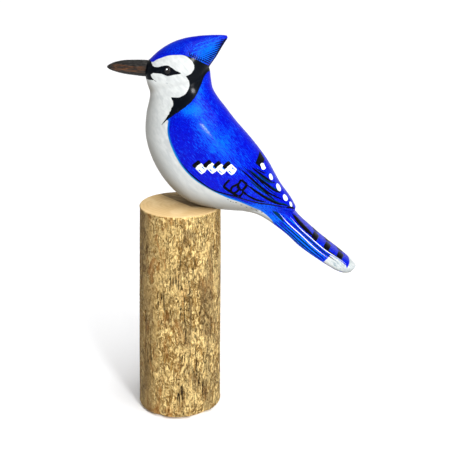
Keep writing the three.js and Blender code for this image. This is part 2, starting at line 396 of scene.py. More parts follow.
@dataclass(frozen=True)
class JayPaint(Finish):
    """White, blue and black paint on the carved bird, parted by the distances on its mesh, with painted
    shade on the white.
    """

    name = "jay_paint"
    gloss = Gloss(0.10, 0.13, 0.02)
    brush_turn: Triple = (0.0, -48.0, 0.0)
    streak_grain: Grain = Grain((230.0, 2100.0, 2400.0), 5.0, 0.66)
    fine_grain: Grain = Grain((520.0, 3400.0, 3800.0), 3.0)
    cloud_grain: Grain = Grain((75.0, 75.0, 75.0), 3.0, 0.6)
    mottle_grain: Grain = Grain((130.0, 420.0, 420.0), 3.0, 0.55)
    wear_grain: Grain = Grain((260.0, 260.0, 260.0), 4.0, 0.65)
    waver_grain: Grain = Grain((900.0, 900.0, 900.0))
    tooth_grain: Grain = Grain((620.0, 620.0, 620.0), 1.0)
    deep: Colour = (0.0, 0.0, 0.22)
    royal: Colour = (0.0, 0.005, 0.56)
    depth_middle: float = 0.55
    depth_streaks: float = 1.9
    depth_fine: float = 0.9
    azure: Layer = Layer((0.0, 0.12, 0.78), (0.1, 1.5))
    azure_streaks: float = 3.0
    azure_fine: float = 2.4
    cyan: Colour = (0.0, 0.28, 0.62)
    cyan_strength: float = 0.9
    cyan_outer: Pair = (-0.3, 0.1)
    cyan_inner: Pair = (0.2, 1.7)
    white: Colour = (0.43, 0.45, 0.45)
    chalk: Layer = Layer((0.55, 0.57, 0.56), (0.3, 0.7))
    # Painted shade: the white is darkened on downward faces and on the breast that faces the bill.
    shade: Layer = Layer((0.17, 0.155, 0.125), (0.05, 1.15), 0.9)
    shade_mottle: float = 0.35
    slate: Layer = Layer((0.20, 0.27, 0.30), (0.48, 0.62))
    black: Colour = (0.001, 0.002, 0.004)
    worn_black: Layer = Layer((0.010, 0.013, 0.018), (0.54, 0.76), 0.7)
    sharp_edge: Pair = (-0.12, 0.12)
    soft_edge: Pair = (-0.2, 0.2)
    blue_waver: float = 0.25
    pale_waver: float = 0.8
    black_waver: float = 0.2
    tooth_height: float = 1.7
    satin: float = 0.33
    satin_spread: float = 0.14
    black_dullness: float = 0.05
    blue_start: Pair = (-0.2, 0.4)
    streak_relief: float = 0.10
    fine_relief: float = 0.05
    white_relief: float = 0.02
    black_relief: float = 0.04

    def paint(self, bench: Bench) -> Painted:
        """The three paints and the brush marks in them.

        Args:
            bench: Where the nodes go.

        Returns:
            Colour, roughness and relief in millimetres.
        """
        streaks = bench.grain(self.streak_grain, self.brush_turn)
        fine = bench.grain(self.fine_grain, self.brush_turn)
        mottled = bench.grain(self.mottle_grain, self.brush_turn)
        waver = bench.grain(self.waver_grain) - 0.5
        teeth = (bench.grain(self.tooth_grain) - 0.5) * self.tooth_height
        edge = bench.attribute("blue_edge")
        white = self._white(bench, mottled)
        blue = self._blue(bench, streaks, fine, edge)
        colour = bench.mix((edge + waver * self.blue_waver).ramp(*self.sharp_edge), white, blue)
        tip = (bench.attribute("pale_edge") + waver * self.pale_waver).ramp(*self.soft_edge)
        tail_white = self.slate.over(white, bench, streaks, bench.attribute("tail_end"))
        colour = bench.mix(tip, colour, tail_white)
        ragged = teeth * bench.attribute("teeth") + waver * self.black_waver
        inked = (bench.attribute("black_edge") + ragged).ramp(*self.sharp_edge)
        black = self.worn_black.over(rgba(self.black), bench, bench.grain(self.wear_grain))
        colour = bench.mix(inked, colour, black)
        brushed = (streaks * self.streak_relief + fine * self.fine_relief) * edge.ramp(*self.blue_start)
        relief = brushed + mottled * self.white_relief + inked * self.black_relief
        rough = self.satin + (fine - 0.5) * self.satin_spread + inked * self.black_dullness
        return colour, rough, relief

    def _blue(self, bench: Bench, streaks: Wire, fine: Wire, edge: Wire) -> Wire:
        """Streaky blue, lighter where the mesh says and along its rim.

        Args:
            bench: Where the nodes go.
            streaks: The long brush marks.
            fine: The hair marks in them.
            edge: The distance into the blue.

        Returns:
            The colour.
        """
        depth = (streaks - 0.5) * self.depth_streaks + (fine - 0.5) * self.depth_fine
        blue = bench.mix((depth + self.depth_middle).clamp(), rgba(self.deep), rgba(self.royal))
        cloud = bench.grain(self.cloud_grain) - 0.5
        light = bench.attribute("azure") + cloud
        light = light + (streaks - 0.5) * self.azure_streaks + (fine - 0.5) * self.azure_fine
        blue = self.azure.over(blue, bench, light)
        rim = (1.0 - edge.ramp(*self.cyan_inner)) * edge.ramp(*self.cyan_outer)
        return bench.mix(rim * bench.attribute("rim") * self.cyan_strength, blue, rgba(self.cyan))

    def _white(self, bench: Bench, mottled: Wire) -> Wire:
        """Uneven white, with painted shade on downward faces and on the breast, where the mesh says.

        Args:
            bench: Where the nodes go.
            mottled: The unevenness.

        Returns:
            The colour.
        """
        white = self.chalk.over(rgba(self.white), bench, mottled)
        # Painted shade, as stored on the mesh, made uneven by the mottling.
        dusk = bench.attribute("dusk") + (mottled - 0.5) * self.shade_mottle
        return self.shade.over(white, bench, dusk)


@dataclass(frozen=True)
class DabPaint(Finish):
    """One colour of paint laid in raised strokes, uneven as a brush leaves it."""

    name: str
    main: Colour
    thin: Colour
    cells: float = 900.0
    thin_band: Pair = (0.45, 0.72)
    satin: float = 0.3
    satin_spread: float = 0.2
    brush_relief: float = 0.03
    gloss: Gloss = Gloss(0.02, 0.2, 0.02)

    def paint(self, bench: Bench) -> Painted:
        """Colour that thins to the second one in patches.

        Args:
            bench: Where the nodes go.

        Returns:
            Colour, roughness and relief in millimetres.
        """
        uneven = bench.grain(Grain((self.cells, self.cells, self.cells), 3.0, 0.6))
        colour = Layer(self.thin, self.thin_band).over(rgba(self.main), bench, uneven)
        return colour, self.satin + (uneven - 0.5) * self.satin_spread, uneven * self.brush_relief


@dataclass(frozen=True)
class BillPaint(Finish):
    """Charcoal paint with brown brush streaks along the bill."""

    name = "brushed_bill"
    gloss = Gloss(0.10, 0.25, 0.08)
    streak_grain: Grain = Grain((130.0, 1500.0, 1900.0), 4.0, 0.6)
    speck_grain: Grain = Grain((400.0, 1500.0, 1500.0), 3.0, 0.6)
    charcoal: Colour = (0.010, 0.009, 0.009)
    ash: Layer = Layer((0.036, 0.035, 0.031), (0.4, 0.75))
    sienna: Layer = Layer((0.14, 0.055, 0.02), (0.42, 0.66), 0.95)
    mouth_height: float = 92.2
    mouth_run: float = -20.0
    mouth_slope: float = 0.045
    brown_under: Pair = (-2.4, -1.2)
    brown_over: Pair = (1.4, 3.2)
    brown_tip: Pair = (-44.5, -39.0)
    brown_root: Pair = (-27.0, -19.0)
    root_loss: float = 0.8
    black_under: Pair = (-3.6, -2.4)
    satin: float = 0.3
    speck_dullness: float = 0.15
    streak_relief: float = 0.06

    def paint(self, bench: Bench) -> Painted:
        """Dark above, brown along the mouth, black under.

        Args:
            bench: Where the nodes go.

        Returns:
            Colour, roughness and relief in millimetres.
        """
        streaks = bench.grain(self.streak_grain)
        speck = bench.grain(self.speck_grain)
        where = bench.place()
        run = where.axis("X") * (1.0 / MM) - PERCH_LEAN
        height = where.axis("Z") * (1.0 / MM) - PERCH_HEIGHT
        over_mouth = height - (self.mouth_height - (run - self.mouth_run) * self.mouth_slope)
        band = over_mouth.ramp(*self.brown_under) * (1.0 - over_mouth.ramp(*self.brown_over))
        length = run.ramp(*self.brown_tip) * (1.0 - run.ramp(*self.brown_root) * self.root_loss)
        colour = self.ash.over(rgba(self.charcoal), bench, speck)
        colour = self.sienna.over(colour, bench, streaks, band * length)
        colour = bench.mix(1.0 - over_mouth.ramp(*self.black_under), colour, rgba(self.charcoal))
        return colour, self.satin + speck * self.speck_dullness, streaks * self.streak_relief


@dataclass(frozen=True)
class EyeGloss(Finish):
    """Deep black, hard and shiny."""

    name = "varnished_eye"
    gloss = Gloss(0.2, 0.03, 0.08)
    drift_grain: Grain = Grain((500.0, 500.0, 500.0))
    black: Colour = (0.002, 0.002, 0.003)
    brown: Colour = (0.008, 0.006, 0.005)
    rough: float = 0.07

    def paint(self, bench: Bench) -> Painted:
        """Black with the least brown in it."""
        colour = bench.mix(bench.grain(self.drift_grain), rgba(self.black), rgba(self.brown))
        return colour, self.rough, None


@dataclass(frozen=True)
class PeeledLog(Finish):
    """Dry peeled wood: tan fibres, dark grooves and pits, brown stains, and a sawn top, with painted
    shade on the left edge and a painted shadow of the bird on the top.
    """

    name = "peeled_log"
    gloss = Gloss(0.0, 0.5, 0.15)
    fibre_grain: Grain = Grain((520.0, 520.0, 45.0), 4.0, 0.55, 0.9)
    hair_grain: Grain = Grain((1500.0, 1500.0, 170.0), 4.0, 0.62, 0.6)
    crumb_grain: Grain = Grain((300.0, 300.0, 210.0), 7.0, 0.74, 1.8)
    patch_grain: Grain = Grain((80.0, 80.0, 40.0), 5.0, 0.55, 1.0)
    dim_grain: Grain = Grain((75.0, 75.0, 18.0), 4.0, 0.6, 1.0)
    stain_grain: Grain = Grain((110.0, 110.0, 48.0), 3.0, 0.6, 1.0)
    stain_shift: Triple = (3.1, 1.7, 0.4)
    tan: Colour = (0.38, 0.21, 0.05)
    pale: Layer = Layer((1.0, 0.74, 0.31), (0.38, 0.59))
    pale_share: float = 0.6
    grey: Layer = Layer((0.20, 0.125, 0.048), (0.46, 0.66), 0.75)
    # Painted shade that darkens the log's left edge towards grey.
    left_shade_edge: Pair = (-0.024, -0.010)
    left_shade_middle: float = 0.55
    left_shade_spread: float = 1.6
    worn_edge: Pair = (-0.02, 0.012)
    worn_least: float = 0.35
    inner_bark: Colour = (0.40, 0.235, 0.065)
    bark_light: Layer = Layer((1.0, 0.74, 0.31), (0.35, 0.7), 0.6)
    peel_band: Pair = (0.49, 0.515)
    peel_reach: float = 1.25
    peel_over_lines: float = 0.5
    peel_over_grooves: float = 0.4
    stain: Layer = Layer((0.36, 0.13, 0.016), (0.53, 0.64), 0.8)
    stain_reach: float = 1.3
    dark: Colour = (0.022, 0.011, 0.004)
    line_strength: float = 0.95
    groove: Layer = Layer((0.022, 0.011, 0.004), (0.25, 0.75), 0.95)
    crack_width: float = 0.018
    split_width: float = 0.05
    split_strength: float = 0.8
    split_band: Pair = (0.56, 0.42)
    saw_grain: Grain = Grain((50.0, 900.0, 1.0), 3.0)
    saw_turn: Triple = (0.0, 0.0, 25.0)
    bend_grain: Grain = Grain((45.0, 45.0, 45.0))
    blotch_grain: Grain = Grain((85.0, 85.0, 85.0), 3.0)
    sawn: Colour = (0.80, 0.56, 0.27)
    ring: Colour = (0.60, 0.38, 0.15)
    ring_bend: float = 9.0
    ring_rate: float = 2.1
    ring_strength: float = 0.28
    saw_strength: float = 0.5
    heart: Layer = Layer((0.92, 0.70, 0.38), (0.42, 0.66), 0.6)
    # A painted shadow of the bird's belly on the sawn top.
    shaded: Colour = (0.13, 0.085, 0.042)
    shade_aim: Triple = (0.78, 0.62, 0.0)
    shade_line: Pair = (0.0020, 0.0028)
    shade_front: Pair = (-0.009, -0.004)
    shade_middle: float = 0.7
    shade_streaks: float = 1.2
    bark_edge: Pair = (0.02, 0.3)
    rough: float = 0.75
    rough_spread: float = 0.2
    crumb_relief: float = 1.8
    hair_relief: float = 0.5
    line_relief: float = 0.9
    saw_relief: float = 0.05

    def paint(self, bench: Bench) -> Painted:
        """The side's fibres and the top's rings, parted by the stored share of bark.

        Args:
            bench: Where the nodes go.

        Returns:
            Colour, roughness and relief in millimetres.
        """
        fibre = bench.grain(self.fibre_grain)
        saw = bench.grain(self.saw_grain, self.saw_turn)
        side, relief = self._side(bench, fibre)
        share = bench.attribute("bark")
        colour = bench.mix(share.ramp(*self.bark_edge), self._top(bench, saw), side)
        relief = relief * share + saw * self.saw_relief * (1.0 - share)
        return colour, self.rough + (fibre - 0.5) * self.rough_spread, relief

    def _side(self, bench: Bench, fibre: Wire) -> tuple[Wire, Wire]:
        """Fibres that are worn towards the right, peeled and stained towards the left, with painted shade
        along the left edge.

        Args:
            bench: Where the nodes go.
            fibre: The long fibres.

        Returns:
            The colour, and the relief in millimetres.
        """
        hair = bench.grain(self.hair_grain)
        crumb = bench.grain(self.crumb_grain)
        patch = bench.grain(self.patch_grain)
        dim = bench.grain(self.dim_grain)
        across = bench.place().axis("X")
        worn = across.ramp(*self.worn_edge) * (1.0 - self.worn_least) + self.worn_least
        side = self.pale.over(rgba(self.tan), bench, crumb + (hair + patch - 1.0) * self.pale_share)
        side = self.grey.over(side, bench, dim, worn)
        peel = patch.ramp(*self.peel_band) * (self.peel_reach - worn)
        bark = self.bark_light.over(rgba(self.inner_bark), bench, crumb)
        side = bench.mix(peel.clamp(), side, bark)
        stains = bench.noise(bench.place(self.stain_grain.cells) + self.stain_shift, self.stain_grain)
        side = self.stain.over(side, bench, stains, self.stain_reach - worn)
        # Painted shade: the left edge of the log is darkened towards grey, unevenly.
        left = 1.0 - across.ramp(*self.left_shade_edge)
        left_shade_depth = (self.left_shade_middle + (dim - 0.5) * self.left_shade_spread).clamp()
        side = bench.mix(left * left_shade_depth, side, rgba(self.grey.colour))
        crack = self._crack(bench, fibre, self.crack_width) * worn
        split = self._crack(bench, hair, self.split_width) * self.split_strength
        lines = crack + split * crumb.ramp(*self.split_band)
        lines = (lines * (1.0 - peel * self.peel_over_lines)).clamp()
        side = bench.mix(lines * self.line_strength, side, rgba(self.dark))
        bare = 1.0 - peel * self.peel_over_grooves
        side = self.groove.over(side, bench, bench.attribute("groove"), bare)
        relief = crumb * self.crumb_relief - lines * self.line_relief + hair * self.hair_relief
        return side, relief

    def _top(self, bench: Bench, saw: Wire) -> Wire:
        """Sawn wood with its rings, and a painted shadow of the bird in a band beside the belly.

        Args:
            bench: Where the nodes go.
            saw: The marks of the saw.

        Returns:
            The colour.
        """
        plan = (bench.place() - (PERCH_LEAN * MM, 0.0, 0.0)) * (1.0, 1.0, 0.0)
        reach = bench.node("ShaderNodeVectorMath", {"operation": "LENGTH"}, {0: plan}, out="Value")
        bent = reach * (1.0 / MM) + (bench.grain(self.bend_grain) - 0.5) * self.ring_bend
        wave = bench.node("ShaderNodeMath", {"operation": "SINE"}, {0: bent * self.ring_rate})
        rings = (wave * 0.5 + 0.5) * self.ring_strength + (saw - 0.5) * self.saw_strength
        top = bench.mix(rings, rgba(self.sawn), rgba(self.ring))
        top = self.heart.over(top, bench, bench.grain(self.blotch_grain))
        # Painted shadow of the bird, in a band beside the belly, streaked by the saw marks.
        shade = plan.dot(self.shade_aim).ramp(*self.shade_line)
        shade = shade * plan.axis("Y").ramp(*self.shade_front)
        streaked = self.shade_middle + (saw - 0.5) * self.shade_streaks
        return bench.mix((shade * streaked).clamp(), top, rgba(self.shaded))

    @staticmethod
    def _crack(bench: Bench, value: Wire, wide: float) -> Wire:
        """Thin lines where a noise crosses its middle."""
        off = bench.node("ShaderNodeMath", {"operation": "ABSOLUTE"}, {0: value - 0.5})
        return 1.0 - off.ramp(0.0, wide)


@dataclass(frozen=True)
class StudioPaper(Finish):
    """Pale paper under the figure."""

    name = "studio_paper"
    gloss = Gloss(0.0, 0.5, 0.1)
    tooth_grain: Grain = Grain((300.0, 300.0, 300.0))
    dim: Colour = (0.93, 0.93, 0.935)
    bright: Colour = (0.95, 0.95, 0.955)
    rough: float = 0.9

    def paint(self, bench: Bench) -> Painted:
        """Near white with a faint tooth."""
        colour = bench.mix(bench.grain(self.tooth_grain), rgba(self.dim), rgba(self.bright))
        return colour, self.rough, None


BLACK_DABS = DabPaint("black_dabs", (0.001, 0.001, 0.002), (0.004, 0.004, 0.01))
INK_BLUE_DABS = DabPaint("ink_blue_dabs", (0.002, 0.003, 0.02), (0.0, 0.006, 0.12))
WHITE_DABS = DabPaint("white_dabs", (0.72, 0.75, 0.75), (0.45, 0.56, 0.7))
SPOT_DABS = DabPaint("spot_dabs", (0.66, 0.72, 0.74), (0.5, 0.64, 0.72))
TEAL_DABS = DabPaint("teal_dabs", (0.0, 0.022, 0.035), (0.0, 0.012, 0.2), cells=700.0)
AZURE_DABS = DabPaint("azure_dabs", (0.0, 0.14, 0.75), (0.0, 0.05, 0.6), cells=700.0)
GREY_DABS = DabPaint("grey_dabs", (0.30, 0.33, 0.34), (0.5, 0.52, 0.53))


def smooth_run(points: Sequence[Sequence[float]], per_span: int, knot: float = 0.5) -> np.ndarray:
    """Catmull-Rom curve through points.

    Args:
        points: The points it passes, of any number of axes.
        per_span: Samples for each stretch between two points.
        knot: The power of the distance between knots, 0.5 centripetal and 0 uniform.

    Returns:
        The samples, from the first point to the last.
    """
    given = np.asarray(points, float)
    padded = np.vstack([2 * given[0] - given[1], given, 2 * given[-1] - given[-2]])
    steps = np.linspace(0.0, 1.0, per_span, endpoint=False)[:, None]
    samples = []
    for a, b, c, d in zip(padded, padded[1:], padded[2:], padded[3:]):
        spans = (b - a, c - b, d - c)
        before, here, after = (max(float(np.linalg.norm(s)), LEAST_GAP) ** knot for s in spans)
        lead = ((b - a) / before - (c - a) / (before + here) + (c - b) / here) * here
        trail = ((c - b) / here - (d - b) / (here + after) + (d - c) / after) * here
        cubic = 2 * (b - c) + lead + trail
        square = 3 * (c - b) - 2 * lead - trail
        samples.append(b + lead * steps + square * steps**2 + cubic * steps**3)
    return np.vstack([*samples, given[-1:]])


@dataclass(frozen=True)
class Outline:
    """A closed outline in the side view, made of smooth runs that meet at corners."""

    runs: tuple[tuple[Pair, ...], ...]
    per_span: int = 5

    def polygon(self) -> np.ndarray:
        """The outline as the corners of a fine polygon."""
        return np.vstack([smooth_run(run, self.per_span)[:-1] for run in self.runs])

    def inside(self, points: np.ndarray) -> np.ndarray:
        """Signed distance to the outline.

        Args:
            points: Rows of x, z.

        Returns:
            Millimetres, more than 0 inside.
        """
        corners = self.polygon()
        nearest = np.full(len(points), np.inf)
        within = np.zeros(len(points), bool)
        for start, end in zip(corners, np.roll(corners, -1, axis=0)):
            along = end - start
            offset = points - start
            share = np.clip(offset @ along / max(along @ along, LEAST), 0.0, 1.0)
            nearest = np.minimum(nearest, np.linalg.norm(offset - share[:, None] * along, axis=1))
            spans = (start[1] > points[:, 1]) != (end[1] > points[:, 1])
            rise = along[1] if abs(along[1]) > LEAST else LEAST
            within ^= spans & (offset[:, 0] < along[0] * offset[:, 1] / rise)
        return np.where(within, nearest, -nearest)


@dataclass(frozen=True)
class Station:
    """One cross-section of a carved form: top and bottom points, half width and squareness."""

    top: Pair
    bottom: Pair
    wide: float
    widest: float = 0.5
    square: float = 2.0


@dataclass(frozen=True)
class CarvedForm:
    """A closed form through stations."""

    stations: tuple[Station, ...]
    per_span: int
    sides: int

    def surface(self) -> tuple[np.ndarray, Faces]:
        """The form's skin.

        Returns:
            Its points in the bird's frame, in millimetres, and its faces.
        """
        tops = smooth_run([s.top for s in self.stations], self.per_span)
        bottoms = smooth_run([s.bottom for s in self.stations], self.per_span)
        shape = smooth_run([(s.wide, s.widest, s.square) for s in self.stations], self.per_span, 0.0)
        turn = np.linspace(0.0, 2 * math.pi, self.sides, endpoint=False)[None]
        wide, widest, square = (shape[:, i, None] for i in range(3))
        across = np.sign(np.cos(turn)) * np.abs(np.cos(turn)) ** (2 / square)
        rise = np.sign(np.sin(turn)) * np.abs(np.sin(turn)) ** (2 / square)
        height = (widest + rise * np.where(rise > 0, 1 - widest, widest))[..., None]
        line = bottoms[:, None] + height * (tops - bottoms)[:, None]
        points = np.stack([line[..., 0], wide * across, line[..., 1]], axis=-1)
        return points.reshape(-1, 3), ring_faces(len(points), self.sides)


def ring_faces(rings: int, sides: int) -> Faces:
    """Faces of a tube of rings, closed at both ends.

    Args:
        rings: How many rings of points there are.
        sides: How many points each has.

    Returns:
        Faces that point outwards for rings that turn from +Y over the top.
    """
    index = np.arange(rings * sides).reshape(rings, sides)
    here, beside = index[:-1], np.roll(index, -1, axis=1)[:-1]
    after, diagonal = index[1:], np.roll(index, -1, axis=1)[1:]
    walls = np.stack([here, beside, diagonal, after], axis=-1).reshape(-1, 4)
    return [*map(tuple, walls.tolist()), tuple(index[0, ::-1].tolist()), tuple(index[-1].tolist())]


def build_mesh(name: str, points: np.ndarray, faces: Faces) -> bpy.types.Object:
    """A linked object from points in metres.

    Args:
        name: The piece's name.
        points: Rows of x, y, z in the row's frame.
        faces: Its faces.

    Returns:
        The object, shaded smooth.
    """
    mesh = bpy.data.meshes.new(name)
    mesh.from_pydata(points.tolist(), [], faces)
    mesh.shade_smooth()
    made = bpy.data.objects.new(name, mesh)
    bpy.context.scene.collection.objects.link(made)
    return made


def bake_modifiers(piece: bpy.types.Object) -> bpy.types.Object:
    """Replaces a piece by a plain mesh of what its modifiers show.

    Args:
        piece: A mesh or curve object with modifiers.

    Returns:
        A new object of the same name, shaded smooth.
    """
    graph = bpy.context.evaluated_depsgraph_get()
    mesh = bpy.data.meshes.new_from_object(piece.evaluated_get(graph))
    name = piece.name
    bpy.data.objects.remove(piece)
    mesh.name = name
    mesh.shade_smooth()
    made = bpy.data.objects.new(name, mesh)
    bpy.context.scene.collection.objects.link(made)
    return made


def open_tree(name: str, inputs: dict[str, str], output: str) -> tuple[Bench, dict[str, Wire]]:
    """Starts a geometry node tree.

    Args:
        name: The tree's name.
        inputs: The socket kind of each input, by its name.
        output: The name of the geometry that comes out.

    Returns:
        A bench on the tree, and a wire from each input.
    """
    tree = bpy.data.node_groups.new(name, "GeometryNodeTree")
    for label, kind in inputs.items():
        tree.interface.new_socket(label, in_out="INPUT", socket_type=kind)
    tree.interface.new_socket(output, in_out="OUTPUT", socket_type="NodeSocketGeometry")
    bench = Bench(tree)
    entry = bench.add("NodeGroupInput", {}, {})
    return bench, {label: Wire(bench, entry.outputs[label]) for label in inputs}


def close_tree(bench: Bench, output: str, shape: Wire, material: Wire) -> bpy.types.NodeTree:
    """Ends a geometry node tree in real geometry with its material.

    Args:
        bench: The tree's bench.
        output: The name of the geometry that comes out.
        shape: The geometry.
        material: The input that holds the material.

    Returns:
        The tree.
    """
    real = bench.node("GeometryNodeRealizeInstances", {}, {"Geometry": shape})
    dressed = bench.node("GeometryNodeSetMaterial", {}, {"Geometry": real, "Material": material})
    bench.add("NodeGroupOutput", {}, {output: dressed})
    return bench.tree


def run_tree(
    piece: bpy.types.Object, tree: bpy.types.NodeTree, given: dict[str, object]
) -> bpy.types.Object:
    """Runs a geometry node tree on a piece.

    Args:
        piece: The mesh or curve that goes in.
        tree: The tree.
        given: Its other inputs, by name.

    Returns:
        A plain mesh of what comes out.
    """
    modifier = piece.modifiers.new(tree.name, "NODES")
    modifier.node_group = tree
    for item in tree.interface.items_tree:
        if item.in_out == "INPUT" and item.name in given:
            modifier[item.identifier] = given[item.name]
    return bake_modifiers(piece)


def read_vectors(mesh: bpy.types.Mesh, what: str) -> np.ndarray:
    """Reads a vector of every point.

    Args:
        mesh: The mesh.
        what: "co" for the places and "normal" for the normals.

    Returns:
        Rows of x, y, z.
    """
    flat = np.empty(len(mesh.vertices) * 3, np.float32)
    mesh.vertices.foreach_get(what, flat)
    return flat.reshape(-1, 3).astype(float)


def move_points(mesh: bpy.types.Mesh, points: np.ndarray) -> None:
    """Puts the mesh's points in new places."""
    mesh.vertices.foreach_set("co", points.astype(np.float32).ravel())
    mesh.update()


def store(mesh: bpy.types.Mesh, name: str, values: np.ndarray) -> None:
    """Keeps one value for each point of a mesh under a name."""
    layer = mesh.attributes.new(name, "FLOAT", "POINT")
    layer.data.foreach_set("value", values.astype(np.float32))


def settle(piece: bpy.types.Object, finish: Finish, slot: str, *nodes: str) -> bpy.types.Object:
    """Dresses a finished piece, puts it on the body and hides the CAD nodes that it replaces.

    Args:
        piece: The piece, in place.
        finish: Its finish.
        slot: Not used.
        nodes: CAD nodes that it replaces.

    Returns:
        The piece.
    """
    piece.data.materials.clear()
    piece.data.materials.append(finish.material())
    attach(piece, "root")
    if nodes:
        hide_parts(*nodes)
    LOG.info("%s: %d faces", piece.name, len(piece.data.polygons))
    return piece


@dataclass(frozen=True)
class TailBlade:
    """The paddle of the tail, and the frame that its paint is laid in."""

    slope: float = 42.0
    wide: float = 14.5
    over: float = 6.1
    under: float = 5.4
    tip_run: float = 19.0
    tip_thin: float = 0.45
    tip_lift: float = 0.95
    tip_wide: float = 1.6
    tip_rounding: float = 0.7
    square: float = 3.0
    end: float = 120.4
    line: float = 41.0
    curl: float = 3.0
    curl_start: float = 84.0

    @property
    def along(self) -> np.ndarray:
        """Unit vector down the tail, as x, z."""
        angle = math.radians(self.slope)
        return np.array([math.cos(angle), -math.sin(angle)])

    @property
    def out(self) -> np.ndarray:
        """Unit vector out of the tail's top, as x, z."""
        angle = math.radians(self.slope)
        return np.array([math.sin(angle), math.cos(angle)])

    def place(self, run: float, lift: float) -> Pair:
        """A point of the side view from its run down the slope and its height over the line."""
        x, z = self.along * run + self.out * (self.line + lift + float(self.bend(run)))
        return (float(x), float(z))

    def bend(self, run: np.ndarray | float) -> np.ndarray:
        """How far the blade has turned up from its line, at a run down the slope."""
        share = (np.asarray(run, float) - self.curl_start) / (self.end - self.curl_start)
        return self.curl * np.maximum(0.0, share) ** 2

    def stations(self) -> tuple[Station, ...]:
        """Sets the blade out from inside the rump down the slope, round in plan at the end.

        Returns:
            Its stations.
        """
        found = [
            Station((60, 12), (38, -2.5), 14, 0.4, 2.2),
            Station((69, 3), (50, -4.4), 14, 0.4, 2.4),
            Station((77.5, -4.5), (58.6, -9), 13.4, 0.4, 2.7),
            Station(self.place(68, 6.4), self.place(66, -7.2), 13.6, 0.42, 2.9),
        ]
        for run, under in ((78, 7.4), (90, 6.4), (self.end - self.tip_run, self.under)):
            top, bottom = self.place(run, self.over), self.place(run, -under)
            found.append(Station(top, bottom, self.wide, 0.4, self.square))
        for turn in (0.3, 0.55, 0.78, 0.92, 1.0):
            run = self.end - self.tip_run * (1 - math.sin(turn * math.pi / 2))
            wide = max(self.wide * math.cos(turn * math.pi / 2), self.tip_wide)
            top = self.place(run, self.over * (1 - self.tip_thin * turn**2))
            bottom = self.place(run, -self.under * (1 - self.tip_lift * turn**2))
            found.append(Station(top, bottom, wide, 0.4, self.square - self.tip_rounding * turn))
        return tuple(found)


@dataclass(frozen=True)
class Bloom:
    """A soft patch of lighter blue in the side view."""

    middle: Pair
    reach: Pair
    strength: float

    def glow(self, flat: np.ndarray) -> np.ndarray:
        """The patch's light at rows of x, z."""
        return self.strength * np.exp(-(((flat - self.middle) / self.reach) ** 2).sum(axis=1))


